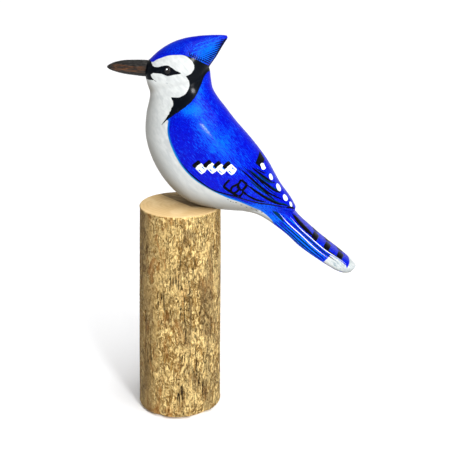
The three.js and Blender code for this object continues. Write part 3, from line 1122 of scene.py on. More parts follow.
@dataclass
class BirdSkin:
    """The carved bird in one skin, with the distances that its paint is parted by."""

    tail: TailBlade = field(default_factory=TailBlade)
    voxel: float = 0.63
    smoothing: int = 8
    pull: float = 0.6
    push: float = -0.58
    throat: Pair = (-17.0, 78.5)
    throat_reach: float = 9.0
    throat_passes: int = 60
    box_margin: float = 0.01
    wing_rise: float = 0.9
    wing_edge: float = 1.4
    wing_blend: float = 9.0
    hind_aim: Pair = (0.583, 0.812)
    hind_start: float = 43.7
    hind_length: float = 12.0
    side_fade: float = 4.0
    seat_radius: float = 28.0
    seat_height: float = 0.05
    body: tuple[Station, ...] = (
        Station((17, 99), (-17.6, 81), 12),
        Station((20.6, 92), (-19, 72.5), 14),
        Station((21.4, 86), (-21.2, 62), 16),
        Station((22.6, 79.5), (-21.8, 48), 19.5, 0.5, 2.05),
        Station((26, 73.3), (-17.4, 31.5), 22.5, 0.5, 2.1),
        Station((30.6, 67.2), (-7.6, 15.2), 24, 0.48, 2.15),
        Station((37.7, 57.8), (5.6, 3.8), 24.5, 0.46, 2.15),
        Station((47.6, 46.2), (21.7, -1.2), 23.5, 0.45, 2.15),
        Station((58.8, 31.2), (40.7, -3.2), 20.5, 0.45, 2.1),
        Station((67.8, 15), (60, -3.5), 15.5, 0.4, 2.1),
        Station((75, 4.8), (71, -4), 11, 0.4, 2.2),
        Station((78.6, -1.6), (75.6, -5), 6, 0.5, 2.4),
    )
    head: tuple[Station, ...] = (
        Station((-20, 96.6), (-21.4, 88.6), 4.6, 0.45, 2.1),
        Station((-17.8, 98.6), (-20.7, 86.4), 7.4, 0.44, 2.1),
        Station((-11.3, 104.3), (-18.6, 78.6), 11.4, 0.43, 2.1),
        Station((-3.4, 109), (-6.7, 73.6), 14, 0.42, 2.1),
        Station((4.9, 111.8), (5.1, 74.3), 14.5, 0.4, 2.1),
        Station((13.3, 113.2), (14.3, 82.2), 11.6, 0.38),
        Station((20.9, 113.8), (20.2, 93.2), 6.8, 0.42),
        Station((27.3, 113.9), (25.4, 100.8), 3.7),
        Station((31, 113.7), (29.2, 107.2), 2),
        Station((32.4, 113.1), (32, 111.4), 0.9),
    )
    wing: Outline = Outline((
        ((-5.8, 62), (1.7, 67.5), (12.6, 70.6), (21.5, 67.5), (31, 57.5), (42, 43), (53.5, 26),
         (63, 11.5), (70.9, 2.6), (77.6, -1.4)),
        ((77.6, -1.4), (75.6, -3.4)),
        ((75.6, -3.4), (72, -1.2), (61.5, 4.2), (47, 8.5), (34.4, 12.6), (25, 15.5), (16.8, 20.2),
         (10.2, 24.9), (4.5, 30.7), (0.5, 36.5), (-3.2, 43.9), (-5.5, 50.3), (-6.4, 56.3), (-5.8, 62)),
    ))
    mantle: Outline = Outline((
        ((-6.8, 62.8), (-5.8, 62.1)),
        ((-5.8, 62.1), (-6.4, 56.3), (-5.5, 50.3), (-3.2, 43.9), (0.5, 36.5), (4.5, 30.7),
         (10.2, 24.9), (16.8, 20.2), (25, 15.3), (33.3, 11), (40.9, 7.8), (54.6, -0.3), (59.2, -4.2),
         (62.5, -8.5), (63.5, -14)),
        ((63.5, -14), (70, -90)),
        ((70, -90), (200, -90)),
        ((200, -90), (200, 93)),
        ((200, 93), (17.5, 93)),
        ((17.5, 93), (14, 86), (10, 78.5), (2, 71.5), (-4, 66), (-6.8, 62.8)),
    ))
    crown: Outline = Outline((
        ((-30, 97.8), (-19, 97.8)),
        ((-19, 97.8), (-15.3, 97.9), (-13.3, 99.2), (-10.5, 100.5), (-4.9, 102.4), (0.6, 102.9),
         (3.9, 102.9), (8.9, 101.2), (14.9, 98.2), (20.5, 93.8), (26, 92)),
        ((26, 92), (60, 92)),
        ((60, 92), (60, 140)),
        ((60, 140), (-30, 140)),
        ((-30, 140), (-30, 97.8)),
    ))
    necklace: Outline = Outline((
        ((-10.4, 58.8), (-6.1, 62.9), (2.6, 69), (8.7, 73.6), (12.3, 78), (15.3, 84.1), (17.6, 89.2),
         (19.4, 91)),
        ((19.4, 91), (60, 91)),
        ((60, 91), (60, 95)),
        ((60, 95), (20.4, 95)),
        ((20.4, 95), (14.9, 98.8), (8.9, 101.7), (2.6, 103.6)),
        ((2.6, 103.6), (7.7, 101.1), (10.4, 98.1), (10.9, 94.9), (9.2, 91.7), (5.6, 90.1)),
        ((5.6, 90.1), (7.5, 86.8), (7.7, 83), (5.8, 79.4), (2, 76.9), (-3.9, 76.6)),
        ((-3.9, 76.6), (-2.6, 72.8), (-4.2, 68.6), (-7.4, 63.1), (-10.4, 58.8)),
    ))
    mask: Outline = Outline((
        ((-24, 98.4), (-18, 98.6), (-16.4, 97.4), (-15.3, 95.7), (-12, 95.3), (-9.2, 96.1),
         (-5.5, 96.5), (-2.6, 94.9), (-0.6, 93.5), (3.4, 91.8)),
        ((3.4, 91.8), (0.8, 91.2), (-1.9, 90.8), (-5.3, 90), (-8.5, 90.8), (-10.4, 91.3), (-13, 91.4),
         (-15.2, 91.3), (-16.9, 90.2)),
        ((-16.9, 90.2), (-15.6, 88), (-12.9, 86)),
        ((-12.9, 86), (-15.8, 86.9), (-19.7, 86.6), (-24, 86.4)),
        ((-24, 86.4), (-24, 98.4)),
    ))
    wedge: Outline = Outline((
        ((53.4, 38.4), (50.2, 33.3)),
        ((50.2, 33.3), (53.8, 29.8)),
        ((53.8, 29.8), (56.8, 33.2)),
        ((56.8, 33.2), (53.4, 38.4)),
    ))
    azure_patches: tuple[Bloom, ...] = (
        Bloom((9.0, 69.0), (9.0, 4.0), 1.3),
        Bloom((17.0, 57.0), (7.0, 8.0), 0.85),
        Bloom((27.0, 47.0), (10.0, 9.0), 0.75),
        Bloom((38.0, 36.0), (9.0, 8.0), 0.35),
        Bloom((23.0, 105.0), (9.0, 6.0), 1.1),
        Bloom((17.0, 101.0), (7.0, 4.0), 0.9),
        Bloom((1.0, 107.0), (12.0, 4.0), 0.4),
        Bloom((14.0, 79.0), (3.4, 7.5), 0.95),
        Bloom((52.0, 3.0), (12.0, 4.5), 1.1),
        Bloom((63.0, -6.0), (9.0, 5.0), 1.0),
        Bloom((80.0, -24.0), (14.0, 8.0), 0.65),
        Bloom((95.0, -40.0), (8.0, 6.0), 0.4),
        Bloom((52.0, 18.0), (10.0, 7.0), 0.4),
    )
    necklace_teeth: float = 0.45
    mask_teeth: float = 0.3
    teeth_end: float = 13.0
    rim_heights: Pair = (70.0, 50.0)
    rim_runs: Pair = (72.0, 12.0)
    tip_start: float = 96.8
    tip_mid: float = 112.8
    tip_insets: Pair = (0.9, 3.2)
    tip_fade: float = 4.0
    tip_lift: float = -3.0
    pale_half: float = 9.4
    pale_lift: float = -1.5
    pale_start: float = 50.0
    # Where painted shade falls on the white: faces that look towards the bill below the head, and faces
    # that look down.
    breast_shade_aims: Pair = (0.367, 1.033)
    breast_shade_heights: Pair = (100.0, 80.0)
    breast_shade_share: float = 0.85
    belly_shade_aims: Pair = (0.04, 0.84)

    def build(self) -> bpy.types.Object:
        """Carves the bird and stores what its paint is parted by.

        Returns:
            The skin, dressed.
        """
        forms = (
            CarvedForm(self.body, per_span=12, sides=120),
            CarvedForm(self.head, per_span=12, sides=96),
            CarvedForm(self.tail.stations(), per_span=10, sides=80),
        )
        points: list[np.ndarray] = []
        faces: Faces = []
        for form in forms:
            start = sum(map(len, points))
            surface, sides = form.surface()
            points.append(surface)
            faces += [tuple(start + i for i in side) for side in sides]
        skin = build_mesh("bird_skin", perch(np.vstack(points)), faces)
        remesh = skin.modifiers.new("carve", "REMESH")
        remesh.mode = "VOXEL"
        remesh.voxel_size = self.voxel * MM
        skin = bake_modifiers(skin)
        self._soften(skin.data)
        self._carve_wings(skin.data)
        self._mark_flank(skin.data)
        self._mark_tail(skin.data)
        nodes = ("torso", "neck", "head", "crest", "tail", "wing_left", "wing_right")
        return settle(skin, JayPaint(), "blue_paint", *nodes)

    def _soften(self, mesh: bpy.types.Mesh) -> None:
        """Evens the surface, and then the throat alone.

        Every second pass over the whole is pushed back out, so that it doesn't shrink.

        Args:
            mesh: The skin's mesh, which is changed.
        """
        points = read_vectors(mesh, "co")
        ends = np.empty(len(mesh.edges) * 2, np.int32)
        mesh.edges.foreach_get("vertices", ends)
        first, second = ends.reshape(-1, 2).T
        count = np.bincount(ends, minlength=len(points))[:, None]
        for share in (self.pull, self.push) * self.smoothing:
            points += (self._total(points, first, second) / count - points) * share
        flat = points[:, [0, 2]] / MM - (PERCH_LEAN, PERCH_HEIGHT)
        spot = np.linalg.norm(flat - self.throat, axis=1) / self.throat_reach
        near = np.exp(-(spot**2))[:, None]
        for _ in range(self.throat_passes):
            points += (self._total(points, first, second) / count - points) * near
        move_points(mesh, points)

    @staticmethod
    def _total(points: np.ndarray, first: np.ndarray, second: np.ndarray) -> np.ndarray:
        """Adds up each point's neighbours.

        Args:
            points: Rows of x, y, z.
            first: The point at one end of each edge.
            second: The point at its other end.

        Returns:
            A row for each point.
        """
        total = np.zeros_like(points)
        for axis in range(3):
            total[:, axis] += np.bincount(first, points[second, axis], len(points))
            total[:, axis] += np.bincount(second, points[first, axis], len(points))
        return total

    @staticmethod
    def _side_view(mesh: bpy.types.Mesh) -> tuple[np.ndarray, np.ndarray]:
        """Bird frame points of the mesh in millimetres, and their x, z alone."""
        points = read_vectors(mesh, "co") / MM - (PERCH_LEAN, 0.0, PERCH_HEIGHT)
        return points, points[:, [0, 2]]

    def _carve_wings(self, mesh: bpy.types.Mesh) -> None:
        """Raises the wings out of the flank with a rounded shoulder, and flattens the seat.

        Args:
            mesh: The skin's mesh, which is changed and kept inside the CAD box.
        """
        points, flat = self._side_view(mesh)
        hind = np.clip((flat @ self.hind_aim - self.hind_start) / self.hind_length, 0.0, 1.0)
        depth = np.clip(self.wing.inside(flat) / (self.wing_edge + self.wing_blend * hind), 0.0, 1.0)
        rise = self.wing_rise * depth**2 * (3 - 2 * depth)
        sideways = np.clip(np.abs(points[:, 1]) / self.side_fade, 0.0, 1.0)
        points += read_vectors(mesh, "normal") * (rise * sideways)[:, None]
        over_log = np.hypot(points[:, 0], points[:, 1]) < self.seat_radius
        points[:, 2] = np.where(over_log, np.maximum(points[:, 2], self.seat_height), points[:, 2])
        low, high = (np.array(corner, float) for corner in CAD_BOX)
        margin = self.box_margin * MM
        move_points(mesh, np.clip(perch(points), low + margin, high - margin))

    def _mark_flank(self, mesh: bpy.types.Mesh) -> None:
        """Stores how far each point is inside each paint, where the paints change, and where painted
        shade darkens the white.

        Args:
            mesh: The skin's mesh, which gains the values.
        """
        _, flat = self._side_view(mesh)
        facing = read_vectors(mesh, "normal")
        necklace, mask, wedge = (edge.inside(flat) for edge in (self.necklace, self.mask, self.wedge))
        teeth = np.where(necklace > mask, self.necklace_teeth, self.mask_teeth)
        rim = fade(flat[:, 1], *self.rim_heights) * fade(flat[:, 0], *self.rim_runs)
        breast = fade(-facing[:, 0], *self.breast_shade_aims) * fade(flat[:, 1], *self.breast_shade_heights)
        store(mesh, "blue_edge", np.maximum(self.mantle.inside(flat), self.crown.inside(flat)))
        store(mesh, "black_edge", np.maximum(np.maximum(necklace, mask), wedge))
        store(mesh, "teeth", teeth * (flat[:, 0] < self.teeth_end))
        store(mesh, "rim", rim)
        # Painted shade on the white, darker on downward faces and on the breast.
        store(mesh, "dusk", fade(-facing[:, 2], *self.belly_shade_aims) + self.breast_shade_share * breast)
        store(mesh, "azure", sum(patch.glow(flat) for patch in self.azure_patches))

    def _mark_tail(self, mesh: bpy.types.Mesh) -> None:
        """Stores how far each point is inside the tail's white tip and pale underside.

        Args:
            mesh: The skin's mesh, which gains the values.
        """
        points, flat = self._side_view(mesh)
        run = flat @ self.tail.along
        lift = flat @ self.tail.out - self.tail.line - self.tail.bend(run)
        across = np.abs(points[:, 1])
        inset = np.interp(run, [self.tip_start, self.tip_mid], self.tip_insets)
        sides = np.minimum(run - self.tip_start, across - (self.tail.wide - inset))
        under = np.minimum(self.pale_half - across, self.pale_lift - lift)
        tip = np.maximum(run - self.tip_mid, sides)
        store(mesh, "pale_edge", np.maximum(tip, np.minimum(under, run - self.pale_start)))
        tail_end = fade(run, self.tip_start, self.tip_start + self.tip_fade)
        store(mesh, "tail_end", tail_end * (lift > self.tip_lift))


class Taper(Enum):
    """How the width of a stroke runs along it."""

    BLUNT = "blunt"
    POINTED = "pointed"
    TRAILING = "trailing"
    OVAL = "oval"

    def profile(self, share: np.ndarray) -> np.ndarray:
        """The width along a stroke.

        Args:
            share: Shares of the length, from 0 to 1.

        Returns:
            The width at each, against the widest.
        """
        middle = np.abs(2 * share - 1)
        shapes: dict[Taper, np.ndarray] = {
            Taper.BLUNT: np.sqrt(np.clip(1 - middle**12, 0.02, 1)),
            Taper.POINTED: np.clip(1 - middle**3, 0.12, 1),
            Taper.TRAILING: np.clip(1.15 - share, 0.2, 1) * np.clip(share * 12 + 0.35, 0, 1),
            Taper.OVAL: np.sqrt(np.clip(1 - middle**2.4, 0.03, 1)),
        }
        return shapes[self]


class Ground(Enum):
    """The view that a stroke's points are given in."""

    FLANK = "side view, x and z"
    TAIL = "run down the tail and distance from its middle"
    EDGE = "run down the tail and height over its line, on the side face"


@dataclass(frozen=True)
class Stroke:
    """One dab or line of paint."""

    points: tuple[Pair, ...]
    width: float
    taper: Taper = Taper.POINTED
    ground: Ground = Ground.FLANK


class Canvas:
    """The bird's surface, for laying strokes on."""

    beside: float = 60.0
    above: float = 40.0

    def __init__(self, skin: bpy.types.Object, tail: TailBlade) -> None:
        """Keeps the skin as it is now.

        Args:
            skin: The bird's skin.
            tail: The frame that the tail's strokes are given in.
        """
        self.skin = skin
        self.tail = tail
        self.tree = BVHTree.FromObject(skin, bpy.context.evaluated_depsgraph_get())

    def touch(self, spot: Pair, side: int, ground: Ground) -> Vector | None:
        """Where a stroke's point meets the surface.

        Args:
            spot: The point, as its ground gives it.
            side: -1 for the left flank and 1 for the right.
            ground: The view it is given in.

        Returns:
            The place in the row's frame, or None off the edge.
        """
        if ground is Ground.EDGE:
            spot = self.tail.place(*spot)
        if ground is Ground.TAIL:
            x, z = self.tail.along * spot[0] + self.tail.out * (self.tail.line + self.above)
            start = np.array([x, side * spot[1], z])
            aim = np.array([-self.tail.out[0], 0.0, -self.tail.out[1]])
        else:
            start = np.array([spot[0], side * self.beside, spot[1]])
            aim = np.array([0.0, -side, 0.0])
        return self.tree.ray_cast(Vector(perch(start)), Vector(aim))[0]


class SkinReader:
    """Reads the skin inside the tree that lays the strokes."""

    def __init__(self, bench: Bench, skin: Wire) -> None:
        """Takes the skin's geometry, and the normals on it.

        Args:
            bench: The tree's bench.
            skin: The skin's geometry.
        """
        self.bench = bench
        self.skin = skin
        self.normal = bench.node("GeometryNodeInputNormal", {}, {}, kind=Arrow)

    def facing(self, spot: Arrow) -> Arrow:
        """The skin's normal nearest to a place."""
        return self.bench.node(
            "GeometryNodeSampleNearestSurface",
            {"data_type": "FLOAT_VECTOR"},
            {"Mesh": self.skin, "Value": self.normal, "Sample Position": spot},
            kind=Arrow,
        )

    def nearest(self, spot: Arrow) -> Arrow:
        """The place on the skin nearest to another."""
        return self.bench.node(
            "GeometryNodeProximity",
            {"target_element": "FACES"},
            {"Geometry": self.skin, "Sample Position": spot},
            out="Position",
            kind=Arrow,
        )


@dataclass
class Brushwork:
    """Raised strokes of one paint, laid on the skin by geometry nodes."""

    name: str
    strokes: tuple[Stroke, ...]
    finish: DabPaint
    slot: str
    lift: float = 0.1
    depth: float = 0.25
    sink: float = 0.012
    spacing: float = 0.45
    sides: int = 12
    both_sides: bool = True
    samples: int = 10
    least_points: int = 8
    point_step: float = 0.4

    def build(self, canvas: Canvas) -> bpy.types.Object:
        """Lays the strokes and keeps them as one plain mesh.

        Args:
            canvas: The surface they go on.

        Returns:
            The piece.
        """
        curve = bpy.data.curves.new(self.name, "CURVE")
        curve.dimensions = "3D"
        for side in (-1, 1) if self.both_sides else (-1,):
            for stroke in self.strokes:
                self._add_spline(curve, stroke, side, canvas)
        lines = bpy.data.objects.new(self.name, curve)
        bpy.context.scene.collection.objects.link(lines)
        given = {
            "Skin": canvas.skin,
            "Spacing": self.spacing * MM,
            "Lift": self.lift * MM,
            "Depth": self.depth * MM,
            "Sink": self.sink * MM,
            "Sides": self.sides,
            "Paint": self.finish.material(),
        }
        return settle(run_tree(lines, self._tree(), given), self.finish, self.slot)

    def _add_spline(
        self, curve: bpy.types.Curve, stroke: Stroke, side: int, canvas: Canvas
    ) -> None:
        """Adds one stroke's line, with half its width as the radius.

        Args:
            curve: The curve that takes it.
            stroke: The stroke.
            side: -1 for the left flank and 1 for the right.
            canvas: The surface it goes on.
        """
        line = smooth_run(stroke.points, self.samples)
        spots = [canvas.touch((p[0], p[1]), side, stroke.ground) for p in line]
        found = [s for s in spots if s is not None]
        if len(found) < 2:
            LOG.warning("a stroke of %s misses the bird", curve.name)
            return
        steps = [0.0]
        for before, after in zip(found, found[1:]):
            steps.append(steps[-1] + (after - before).length)
        share = np.array(steps) / steps[-1]
        count = max(self.least_points, int(steps[-1] / (self.point_step * MM)))
        even = np.linspace(0.0, 1.0, count)
        places = np.stack([np.interp(even, share, [f[i] for f in found]) for i in range(3)], axis=1)
        widths = stroke.taper.profile(even) * stroke.width / 2
        spline = curve.splines.new("POLY")
        spline.points.add(count - 1)
        spline.points.foreach_set("co", np.column_stack([places, np.ones(count)]).ravel())
        spline.points.foreach_set("radius", (widths * MM).astype(np.float32))

    @staticmethod
    def _tree() -> bpy.types.NodeTree:
        """The tree that turns lines into strokes that hug the skin, built once.

        Returns:
            The tree.
        """
        known = bpy.data.node_groups.get("brush_strokes")
        if known:
            return known
        inputs = {
            "Lines": "NodeSocketGeometry",
            "Skin": "NodeSocketObject",
            "Spacing": "NodeSocketFloat",
            "Lift": "NodeSocketFloat",
            "Depth": "NodeSocketFloat",
            "Sink": "NodeSocketFloat",
            "Sides": "NodeSocketInt",
            "Paint": "NodeSocketMaterial",
        }
        bench, given = open_tree("brush_strokes", inputs, "Strokes")
        bird = {"Object": given["Skin"]}
        relative = {"transform_space": "RELATIVE"}
        skin = SkinReader(bench, bench.node("GeometryNodeObjectInfo", relative, bird, out="Geometry"))
        place = bench.node("GeometryNodeInputPosition", {}, {}, kind=Arrow)
        radius = bench.node("GeometryNodeInputRadius", {}, {})
        lines = bench.node(
            "GeometryNodeResampleCurve",
            {"mode": "LENGTH"},
            {"Curve": given["Lines"], "Length": given["Spacing"]},
        )
        keep = bench.add("GeometryNodeCaptureAttribute", {"domain": "POINT"}, {"Geometry": lines})
        for kind, name in (("VECTOR", "Spot"), ("VECTOR", "Facing"), ("FLOAT", "Reach")):
            keep.capture_items.new(kind, name)
        for index, value in enumerate((place, skin.facing(place), radius), start=1):
            bench.plug(value, keep.inputs[index])
        kept, reach = Wire(bench, keep.outputs[0]), Wire(bench, keep.outputs["Reach"])
        spot, face = Arrow(bench, keep.outputs["Spot"]), Arrow(bench, keep.outputs["Facing"])
        ring = bench.node(
            "GeometryNodeCurvePrimitiveCircle",
            {"mode": "RADIUS"},
            {"Resolution": given["Sides"], "Radius": 1.0},
        )
        parts = {"Curve": kept, "Profile Curve": ring, "Scale": radius, "Fill Caps": True}
        tube = bench.node("GeometryNodeCurveToMesh", {}, parts)
        offset = place - spot
        height = offset.dot(face)
        ground = spot + (offset - face.scaled(height))
        share = height / reach.most(LEAST_REACH)
        rise = share.most(0.0) * given["Lift"] + share.least(0.0) * given["Depth"] - given["Sink"]
        hugged = skin.nearest(ground) + skin.facing(ground).scaled(rise)
        strokes = bench.node("GeometryNodeSetPosition", {}, {"Geometry": tube, "Position": hugged})
        return close_tree(bench, "Strokes", strokes, given["Paint"])


@dataclass
class Markings:
    """All that is painted on with strokes."""

    bar_starts: tuple[Pair, ...] = ((12.9, 34.6), (19.9, 34.9), (25.9, 34.0), (32.2, 33.6))
    bar_drop: Pair = (4.6, -4.5)
    bar_width: float = 5.5
    cap_half: Pair = (2.3, 1.9)
    cap_width: float = 3.0
    cap_shift: Pair = (-0.7, 0.7)
    bar_line_shares: Pair = (0.4, 0.85)
    bar_line_shifts: Pair = (-1.1, 0.9)
    bar_line_width: float = 1.0
    spots: tuple[tuple[Pair, Pair, float], ...] = (
        ((60.2, 24.6), (61.6, 20.6), 4.6),
        ((65.4, 17.0), (67.0, 12.4), 5.6),
        ((70.2, 9.4), (71.6, 5.6), 5.2),
        ((74.2, 4.2), (75.4, 1.0), 3.8),
    )
    lines: tuple[Line, ...] = (
        (((0.4, 38.4), (4.8, 32.4), (10.6, 26.4), (18.2, 20.4), (22.1, 17.9), (26, 16.2),
          (34.6, 13.6), (41.1, 11.2), (52, 7.3), (61.8, 4.8), (74.6, 0.8)), 1.7),
        (((43, 22.4), (44.8, 20.7), (48.1, 17.9), (51.9, 14.7), (61.8, 7.6), (73.2, 2)), 1.8),
        (((43, 15.4), (44.6, 13.9), (48.1, 11.4), (51.9, 9.4), (58, 7.4)), 1.5),
        (((39.5, 32), (43.2, 28.7), (47.2, 24.9), (51.8, 20.3), (60.6, 12.5), (70.1, 6.2)), 1.6),
        (((44.5, 31.3), (52.2, 23.9), (57.8, 19), (63.5, 13.9), (68.7, 10.6)), 2.0),
        (((47.4, 31.6), (53, 26.7), (62.3, 18.8)), 1.7),
        (((46, 29.6), (51.6, 24), (58.4, 16.4), (66, 9.6)), 0.8),
        (((41, 34), (48, 26.6), (55, 18.6)), 0.6),
        (((53, 20), (57.3, 14), (64, 7.6)), 0.9),
        (((50, 30.6), (54.4, 27.4), (57.6, 25.6)), 1.0),
    )
    hooks: tuple[Line, ...] = (
        (((33.6, 24.8), (31.8, 23), (29.6, 20.6)), 1.7),
        (((29.2, 20.9), (31, 18.9), (33.1, 17.2), (35.2, 15.7), (37.2, 14.2), (39, 13.1)), 1.9),
        (((39, 13.1), (40.7, 13.6), (42, 15.2)), 1.6),
        (((41, 24.6), (39.4, 21.9), (37.6, 20.9), (35.5, 19.9), (34.4, 18.1), (34.6, 16.2)), 1.7),
        (((41, 24.4), (43.2, 22.2), (45, 20.5)), 1.7),
        (((44.8, 20.7), (43.3, 18.6), (41.5, 16.6)), 2.0),
        (((38.1, 20), (39.8, 18.3), (41.5, 16.9)), 1.6),
        (((39.4, 21.7), (38.9, 20.2), (39.8, 18.3)), 2.0),
        (((39.6, 17.9), (38.1, 16.3), (35.7, 15.2)), 1.7),
        (((41.5, 16.6), (44.6, 13.9)), 1.7),
        (((40.7, 13.6), (40, 12)), 1.5),
    )
    teal: tuple[Line, ...] = (
        (((46.5, 30.4), (55, 21.6), (62, 15.6), (67.5, 12.2)), 2.2),
        (((51, 28.5), (57, 22), (62.5, 18.4)), 2.0),
        (((55, 12.8), (63, 7.4), (73, 2.4)), 2.0),
        (((46, 24), (54, 16.4), (62, 10)), 1.3),
    )
    hatch_rows: int = 15
    hatch_edge: tuple[Pair, Pair] = ((30.8, 110.6), (20.6, 96.4))
    hatch_reach: Pair = (3.6, 4.4)
    hatch_spread: float = 1.2
    hatch_beat: float = 7.0
    hatch_slope: Pair = (0.2, 0.4)
    nape_rows: int = 9
    nape_edge: tuple[Pair, Pair] = ((19.4, 96.8), (9.0, 102.0))
    glint_start: Pair = (9.0, 103.4)
    glint_step: Pair = (4.2, 1.1)
    glint_row: Pair = (1.4, 2.5)
    glint_rows: int = 3
    glints_in_row: int = 4
    glint_width: float = 0.55
    fleck_count: int = 14
    fleck_edge: tuple[Pair, Pair] = ((32.0, 10.4), (54.1, -1.092))
    fleck_drift: Pair = (0.5, 5.0)
    fleck_size: Triple = (1.0, 0.6, 3.0)
    fleck_width: float = 0.7
    tail_glint_rows: tuple[Triple, ...] = (
        (48.0, -0.8, 30.0),
        (60.0, -2.5, 36.0),
        (70.0, -0.5, 26.0),
        (56.0, 3.4, 20.0),
        (78.0, -4.4, 16.0),
        (52.0, -4.2, 24.0),
    )

    def build(self, canvas: Canvas) -> list[bpy.types.Object]:
        """Lays every colour of stroke.

        Args:
            canvas: The surface they go on.

        Returns:
            The pieces.
        """
        lines = self._lines(self.lines, Taper.POINTED) + self._black_shapes()
        hooks = self._lines(self.hooks, Taper.BLUNT)
        teal = self._lines(self.teal, Taper.POINTED)
        plans = (
            Brushwork("feather_shades", teal, TEAL_DABS, "blue_paint", lift=0.04),
            Brushwork("feather_lines", lines, BLACK_DABS, "bill_paint", lift=0.06),
            Brushwork("feather_hooks", hooks, BLACK_DABS, "bill_paint", lift=0.06),
            Brushwork("wing_bar_dabs", self._bars(), WHITE_DABS, "white_paint", lift=0.14),
            Brushwork("wing_bar_caps", self._caps(), BLACK_DABS, "bill_paint", lift=0.2),
            Brushwork("wing_bar_lines", self._bar_lines(), AZURE_DABS, "blue_paint", lift=0.32,
                      depth=0.1, sides=8),
            Brushwork("trailing_spots", self._spots(), SPOT_DABS, "white_paint", lift=0.14),
            Brushwork("tail_shades", self._tail_shades(), TEAL_DABS, "blue_paint", lift=0.04),
            Brushwork("tail_bars", self._tail_bars(), BLACK_DABS, "bill_paint"),
            Brushwork("tail_lines", self._tail_lines(), WHITE_DABS, "white_paint", lift=0.12),
            Brushwork("crest_hatching", self._hatching(), INK_BLUE_DABS, "blue_paint", lift=0.05),
            Brushwork("crest_glints", self._glints(), AZURE_DABS, "blue_paint", lift=0.04, sides=8),
            Brushwork("tail_glints", self._tail_glints(), AZURE_DABS, "blue_paint", lift=0.04, sides=8),
            Brushwork("crest_edge", self._crest_edge(), BLACK_DABS, "bill_paint", lift=0.06),
            Brushwork("belly_flecks", self._flecks(), BLACK_DABS, "bill_paint", lift=0.03, sides=8),
            Brushwork("far_tail_edge", self._far_edge(), BLACK_DABS, "bill_paint", lift=0.06,
                      both_sides=False),
            Brushwork("cheek_specks", self._specks(), GREY_DABS, "white_paint", lift=0.03),
        )
        return [plan.build(canvas) for plan in plans]

    @staticmethod
    def _lines(rows: tuple[Line, ...], taper: Taper) -> tuple[Stroke, ...]:
        """Strokes from rows of points and a width."""
        return tuple(Stroke(points, width, taper) for points, width in rows)

    def _bars(self) -> tuple[Stroke, ...]:
        """Draws the white blocks of the wing bar.

        Returns:
            A stroke for each block.
        """
        drop_x, drop_z = self.bar_drop
        return tuple(
            Stroke(((x, z), (x + drop_x * 0.5, z + drop_z * 0.5), (x + drop_x, z + drop_z)),
                   self.bar_width, Taper.BLUNT)
            for x, z in self.bar_starts
        )

    def _caps(self) -> tuple[Stroke, ...]:
        """Draws the black cap over each block.

        Returns:
            A stroke for each cap.
        """
        half_x, half_z = self.cap_half
        middles = [(x + self.cap_shift[0], z + self.cap_shift[1]) for x, z in self.bar_starts]
        return tuple(
            Stroke(((x - half_x, z - half_z), (x, z), (x + half_x, z + half_z)),
                   self.cap_width, Taper.BLUNT)
            for x, z in middles
        )

    def _bar_lines(self) -> tuple[Stroke, ...]:
        """Draws two faint blue lines down each block.

        Returns:
            Two strokes for each block.
        """
        first, last = self.bar_line_shares
        strokes = []
        drop_x, drop_z = self.bar_drop
        for x, z in self.bar_starts:
            for shift in self.bar_line_shifts:
                start = (x + drop_x * first + shift, z + drop_z * first + shift)
                end = (x + drop_x * last + shift, z + drop_z * last + shift)
                strokes.append(Stroke((start, end), self.bar_line_width, Taper.TRAILING))
        return tuple(strokes)

    def _spots(self) -> tuple[Stroke, ...]:
        """The white spots down the wing's hind edge, the first a four-sided one."""
        first = Stroke(((54.7, 32.2), (56.3, 28.2)), 4.4, Taper.BLUNT)
        return (first, *(Stroke((a, b), width, Taper.OVAL) for a, b, width in self.spots))

    @staticmethod
    def _black_shapes() -> tuple[Stroke, ...]:
        """The black touch at the hind edge and the line round the wing's tip."""
        return (
            Stroke(((62.4, 19.2), (63.4, 18.2)), 1.6, Taper.BLUNT),
            Stroke(((71, 1.8), (74.6, 0.8), (77.2, -1.2)), 1.8, Taper.POINTED),
        )

    @staticmethod
    def _tail_bars() -> tuple[Stroke, ...]:
        """Draws the black wedge, the bars and the edge line on the tail's top.

        Returns:
            A stroke for each.
        """
        rows: tuple[tuple[tuple[Pair, ...], float, Taper], ...] = (
            (((59, 8.2), (68, 8.6), (80, 10.4)), 6.0, Taper.POINTED),
            (((83, 1.0), (80.8, 12.6)), 5.0, Taper.BLUNT),
            (((94.2, 1.0), (91.8, 12.6)), 4.8, Taper.BLUNT),
            (((105.6, 1.0), (103.2, 12.0)), 4.8, Taper.BLUNT),
            (((88, 12.4), (97, 12.4), (108, 11)), 1.3, Taper.POINTED),
        )
        return tuple(Stroke(points, width, taper, Ground.TAIL) for points, width, taper in rows)

    @staticmethod
    def _tail_shades() -> tuple[Stroke, ...]:
        """Draws dark and green strokes along the tail's sides.

        Returns:
            The strokes.
        """
        rows: tuple[Line, ...] = (
            (((46, 0.4), (52, 0.6), (58, -1.0)), 2.4),
            (((54, -1.6), (66, -1.4), (80, -1.6), (97, -1.4)), 1.1),
            (((62, 2.2), (74, 2.2), (88, 2), (104, 2.2)), 1.0),
            (((52, -3.4), (66, -3.6), (80, -3.6), (96, -3)), 1.0),
            (((60, -4.8), (74, -5), (90, -4.4)), 0.8),
        )
        return tuple(Stroke(points, width, Taper.POINTED, Ground.EDGE) for points, width in rows)

    @staticmethod
    def _tail_lines() -> tuple[Stroke, ...]:
        """Draws the two thin white feather edges of each side.

        Returns:
            One stroke on the tail's top and one on its side face.
        """
        top = ((58.7, 11.2), (70, 12.4), (84, 13), (97, 12.9), (110.5, 11))
        side = ((50.9, 2.1), (59.5, 0.9), (72.5, 0.7), (85.9, 0.3), (97, 0.7))
        return (
            Stroke(top, 0.6, Taper.POINTED, Ground.TAIL),
            Stroke(side, 0.6, Taper.POINTED, Ground.EDGE),
        )

